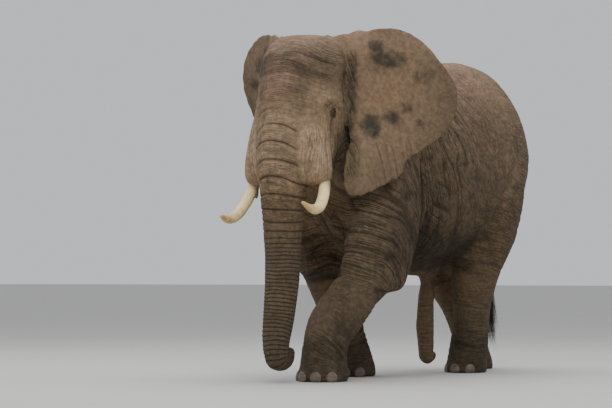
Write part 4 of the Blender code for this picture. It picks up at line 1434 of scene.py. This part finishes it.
def strand(bm, root, way, length, thickness, curl, seed, steps=7):
    """A three-sided hair that tapers to a point and droops as it goes."""
    rings = []
    spot, aim = Vector(root), Vector(way).normalized()
    for i in range(steps):
        size = thickness * (1 - 0.8 * i / (steps - 1)) / 2
        side = aim.cross(Vector((0.3, 1, 0.2))).normalized()
        other = aim.cross(side)
        ring = []
        for turn in range(3):
            angle = math.tau * turn / 3 + seed
            over, along = size * math.cos(angle), size * math.sin(angle)
            ring.append(bm.verts.new(spot + side * over + other * along))
        rings.append(ring)
        aim = (aim + Vector(curl) / steps).normalized()
        spot = spot + aim * (length / (steps - 1))
    faces = []
    for low, high in zip(rings, rings[1:]):
        for i in range(3):
            j = (i + 1) % 3
            faces.append(bm.faces.new((low[i], low[j], high[j], high[i])))
    faces += [bm.faces.new(rings[0][::-1]), bm.faces.new(rings[-1])]
    return faces


# How far up the tail its hairs begin
TUFT_CLIMB = 0.30
# Width of the small patch that each hair has on the UV map
HAIR_PATCH = 0.003


class ELEPHANT_OT_tail_hair(bpy.types.Operator):
    """Coarse hairs in two rows down the tail's end, sweeping back"""

    bl_idname = "elephant.tail_hair"
    bl_label = "Tail hair"

    def execute(self, context):
        looks = context.scene.tail_hair
        low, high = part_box("tail_tuft")
        draw = np.random.default_rng(7)
        bm = bmesh.new()
        patch = bm.loops.layers.uv.new("OFBake")
        x, y = (low.x + high.x) / 2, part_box("tail")[0].y + 0.03
        for number in range(looks.strands):
            share = draw.random()
            climb = TUFT_CLIMB * share**1.5
            turn = math.pi / 2 + math.pi * (number % 2) + draw.normal(0, 0.4 + 0.4 * (1 - share))
            core = Vector((x, y - 0.02 * climb, high.z - 0.01 + climb))
            core.y += 0.17 * climb
            root = core + Vector((math.cos(turn) * 0.014, math.sin(turn) * 0.016, 0))
            way = Vector((math.cos(turn) * 0.04, math.sin(turn) * 0.04 + 0.05, -1))
            length = min(0.30 + 0.22 * draw.random(), (root.z - low.z) * 1.02)
            curl = Vector((draw.normal(0, 0.03), 0.26 + draw.normal(0, 0.04), draw.normal(0, 0.03)))
            thickness = looks.thickness * (0.8 + 0.4 * draw.random())
            made = strand(bm, root, way, length, thickness, curl, turn)
            around, level = (turn / math.tau) % 1.0, 0.1 + 0.8 * climb / TUFT_CLIMB
            for face in made:
                for corner, loop in enumerate(face.loops):
                    across, along = corner in (1, 2), corner > 1
                    loop[patch].uv = (around + HAIR_PATCH * across, level + HAIR_PATCH * along)
        bmesh.ops.recalc_face_normals(bm, faces=bm.faces)
        hair = piece_from(bm, "tail_hair")
        hair.data.shade_smooth()
        looked = clouded_material("tail_hair", 0.45, looks.colour, HAIR_SHEEN, 120.0, 2.0)
        finish(hair, ["tail_tuft"], looked)
        return {"FINISHED"}


# Each soft lamp's name, place, width and power
LAMPS = (
    ("key", (5.5, -9.0, 9.5), 7.0, 620.0),
    ("top", (-1.0, 1.0, 11.0), 10.0, 850.0),
    ("fill", (-9, -6, 6), 8.0, 160.0),
)
LAMPS_AIM = (0, 0, 1.5)
CAMERA_AIM = (-0.684, -0.376, 1.71)
SKY = (0.93, 0.95, 0.98)


def aimed(holder, spot, aim):
    """Place a lamp or the camera, and turn it to look at a point."""
    holder.location = spot
    holder.rotation_euler = (Vector(aim) - Vector(spot)).to_track_quat("-Z", "Y").to_euler()
    bpy.context.scene.collection.objects.link(holder)
    return holder


class ELEPHANT_OT_stage(bpy.types.Operator):
    """Pale floor, soft lights and the camera"""

    bl_idname = "elephant.stage"
    bl_label = "Stage"

    def execute(self, context):
        looks = context.scene.stage_looks
        deselect()
        bpy.ops.mesh.primitive_plane_add(size=400.0, location=(0, 0, -0.001))
        floor = context.active_object
        floor.name = "floor"
        bpy.ops.object.transform_apply(location=True, rotation=True, scale=True)
        floor.data.materials.append(
            clouded_material("studio_floor", 0.9, looks.floor, FLOOR_SHADE, 0.35, 3.0)
        )

        sky = bpy.data.worlds.new("studio")
        context.scene.world = sky
        sky.use_nodes = True
        back = sky.node_tree.nodes["Background"]
        back.inputs["Color"].default_value = paint(SKY)
        back.inputs["Strength"].default_value = 0.72

        for name, spot, size, power in LAMPS:
            lamp = bpy.data.lights.new(name, "AREA")
            lamp.shape = "DISK"
            lamp.size = size
            lamp.energy = power
            aimed(bpy.data.objects.new(name, lamp), spot, LAMPS_AIM).visible_camera = False

        view = bpy.data.cameras.new("camera")
        view.lens = looks.lens
        view.sensor_width = 36.0
        view.clip_end = 600.0
        x, y = math.sin(looks.azimuth) * looks.distance, -math.cos(looks.azimuth) * looks.distance
        holder = aimed(bpy.data.objects.new("camera", view), (x, 0.1 + y, looks.height), CAMERA_AIM)
        context.scene.camera = holder
        return {"FINISHED"}


STEPS = [
    ELEPHANT_OT_stage,
    ELEPHANT_OT_skin,
    ELEPHANT_OT_tusks,
    ELEPHANT_OT_eyes,
    ELEPHANT_OT_toenails,
    ELEPHANT_OT_tail_hair,
]


class ELEPHANT_PT_panel(bpy.types.Panel):
    """The steps that dress the elephant, in order"""

    bl_label = "Elephant"
    bl_idname = "ELEPHANT_PT_panel"
    bl_space_type = "VIEW_3D"
    bl_region_type = "UI"
    bl_category = "Elephant"

    def draw(self, context):
        for name in SETTINGS:
            box = self.layout.box()
            looks = getattr(context.scene, name)
            for key in looks.__annotations__:
                box.prop(looks, key)
        for step in STEPS:
            self.layout.operator(step.bl_idname)


SETTINGS = {
    "skin_sizes": SkinSizes,
    "skin_colours": SkinColours,
    "tusk_looks": TuskLooks,
    "eye_looks": EyeLooks,
    "nail_looks": NailLooks,
    "tail_hair": TailHair,
    "stage_looks": StageLooks,
}


def register():
    for kind in (*SETTINGS.values(), *STEPS, ELEPHANT_PT_panel):
        bpy.utils.register_class(kind)
    for name, kind in SETTINGS.items():
        setattr(bpy.types.Scene, name, PointerProperty(type=kind))


def unregister():
    for name in SETTINGS:
        delattr(bpy.types.Scene, name)
    for kind in reversed((*SETTINGS.values(), *STEPS, ELEPHANT_PT_panel)):
        bpy.utils.unregister_class(kind)


def main():
    register()
    bpy.ops.elephant.stage()
    bpy.ops.elephant.skin()
    bpy.ops.elephant.tusks()
    bpy.ops.elephant.eyes()
    bpy.ops.elephant.toenails()
    bpy.ops.elephant.tail_hair()


if __name__ == "__main__":
    main()
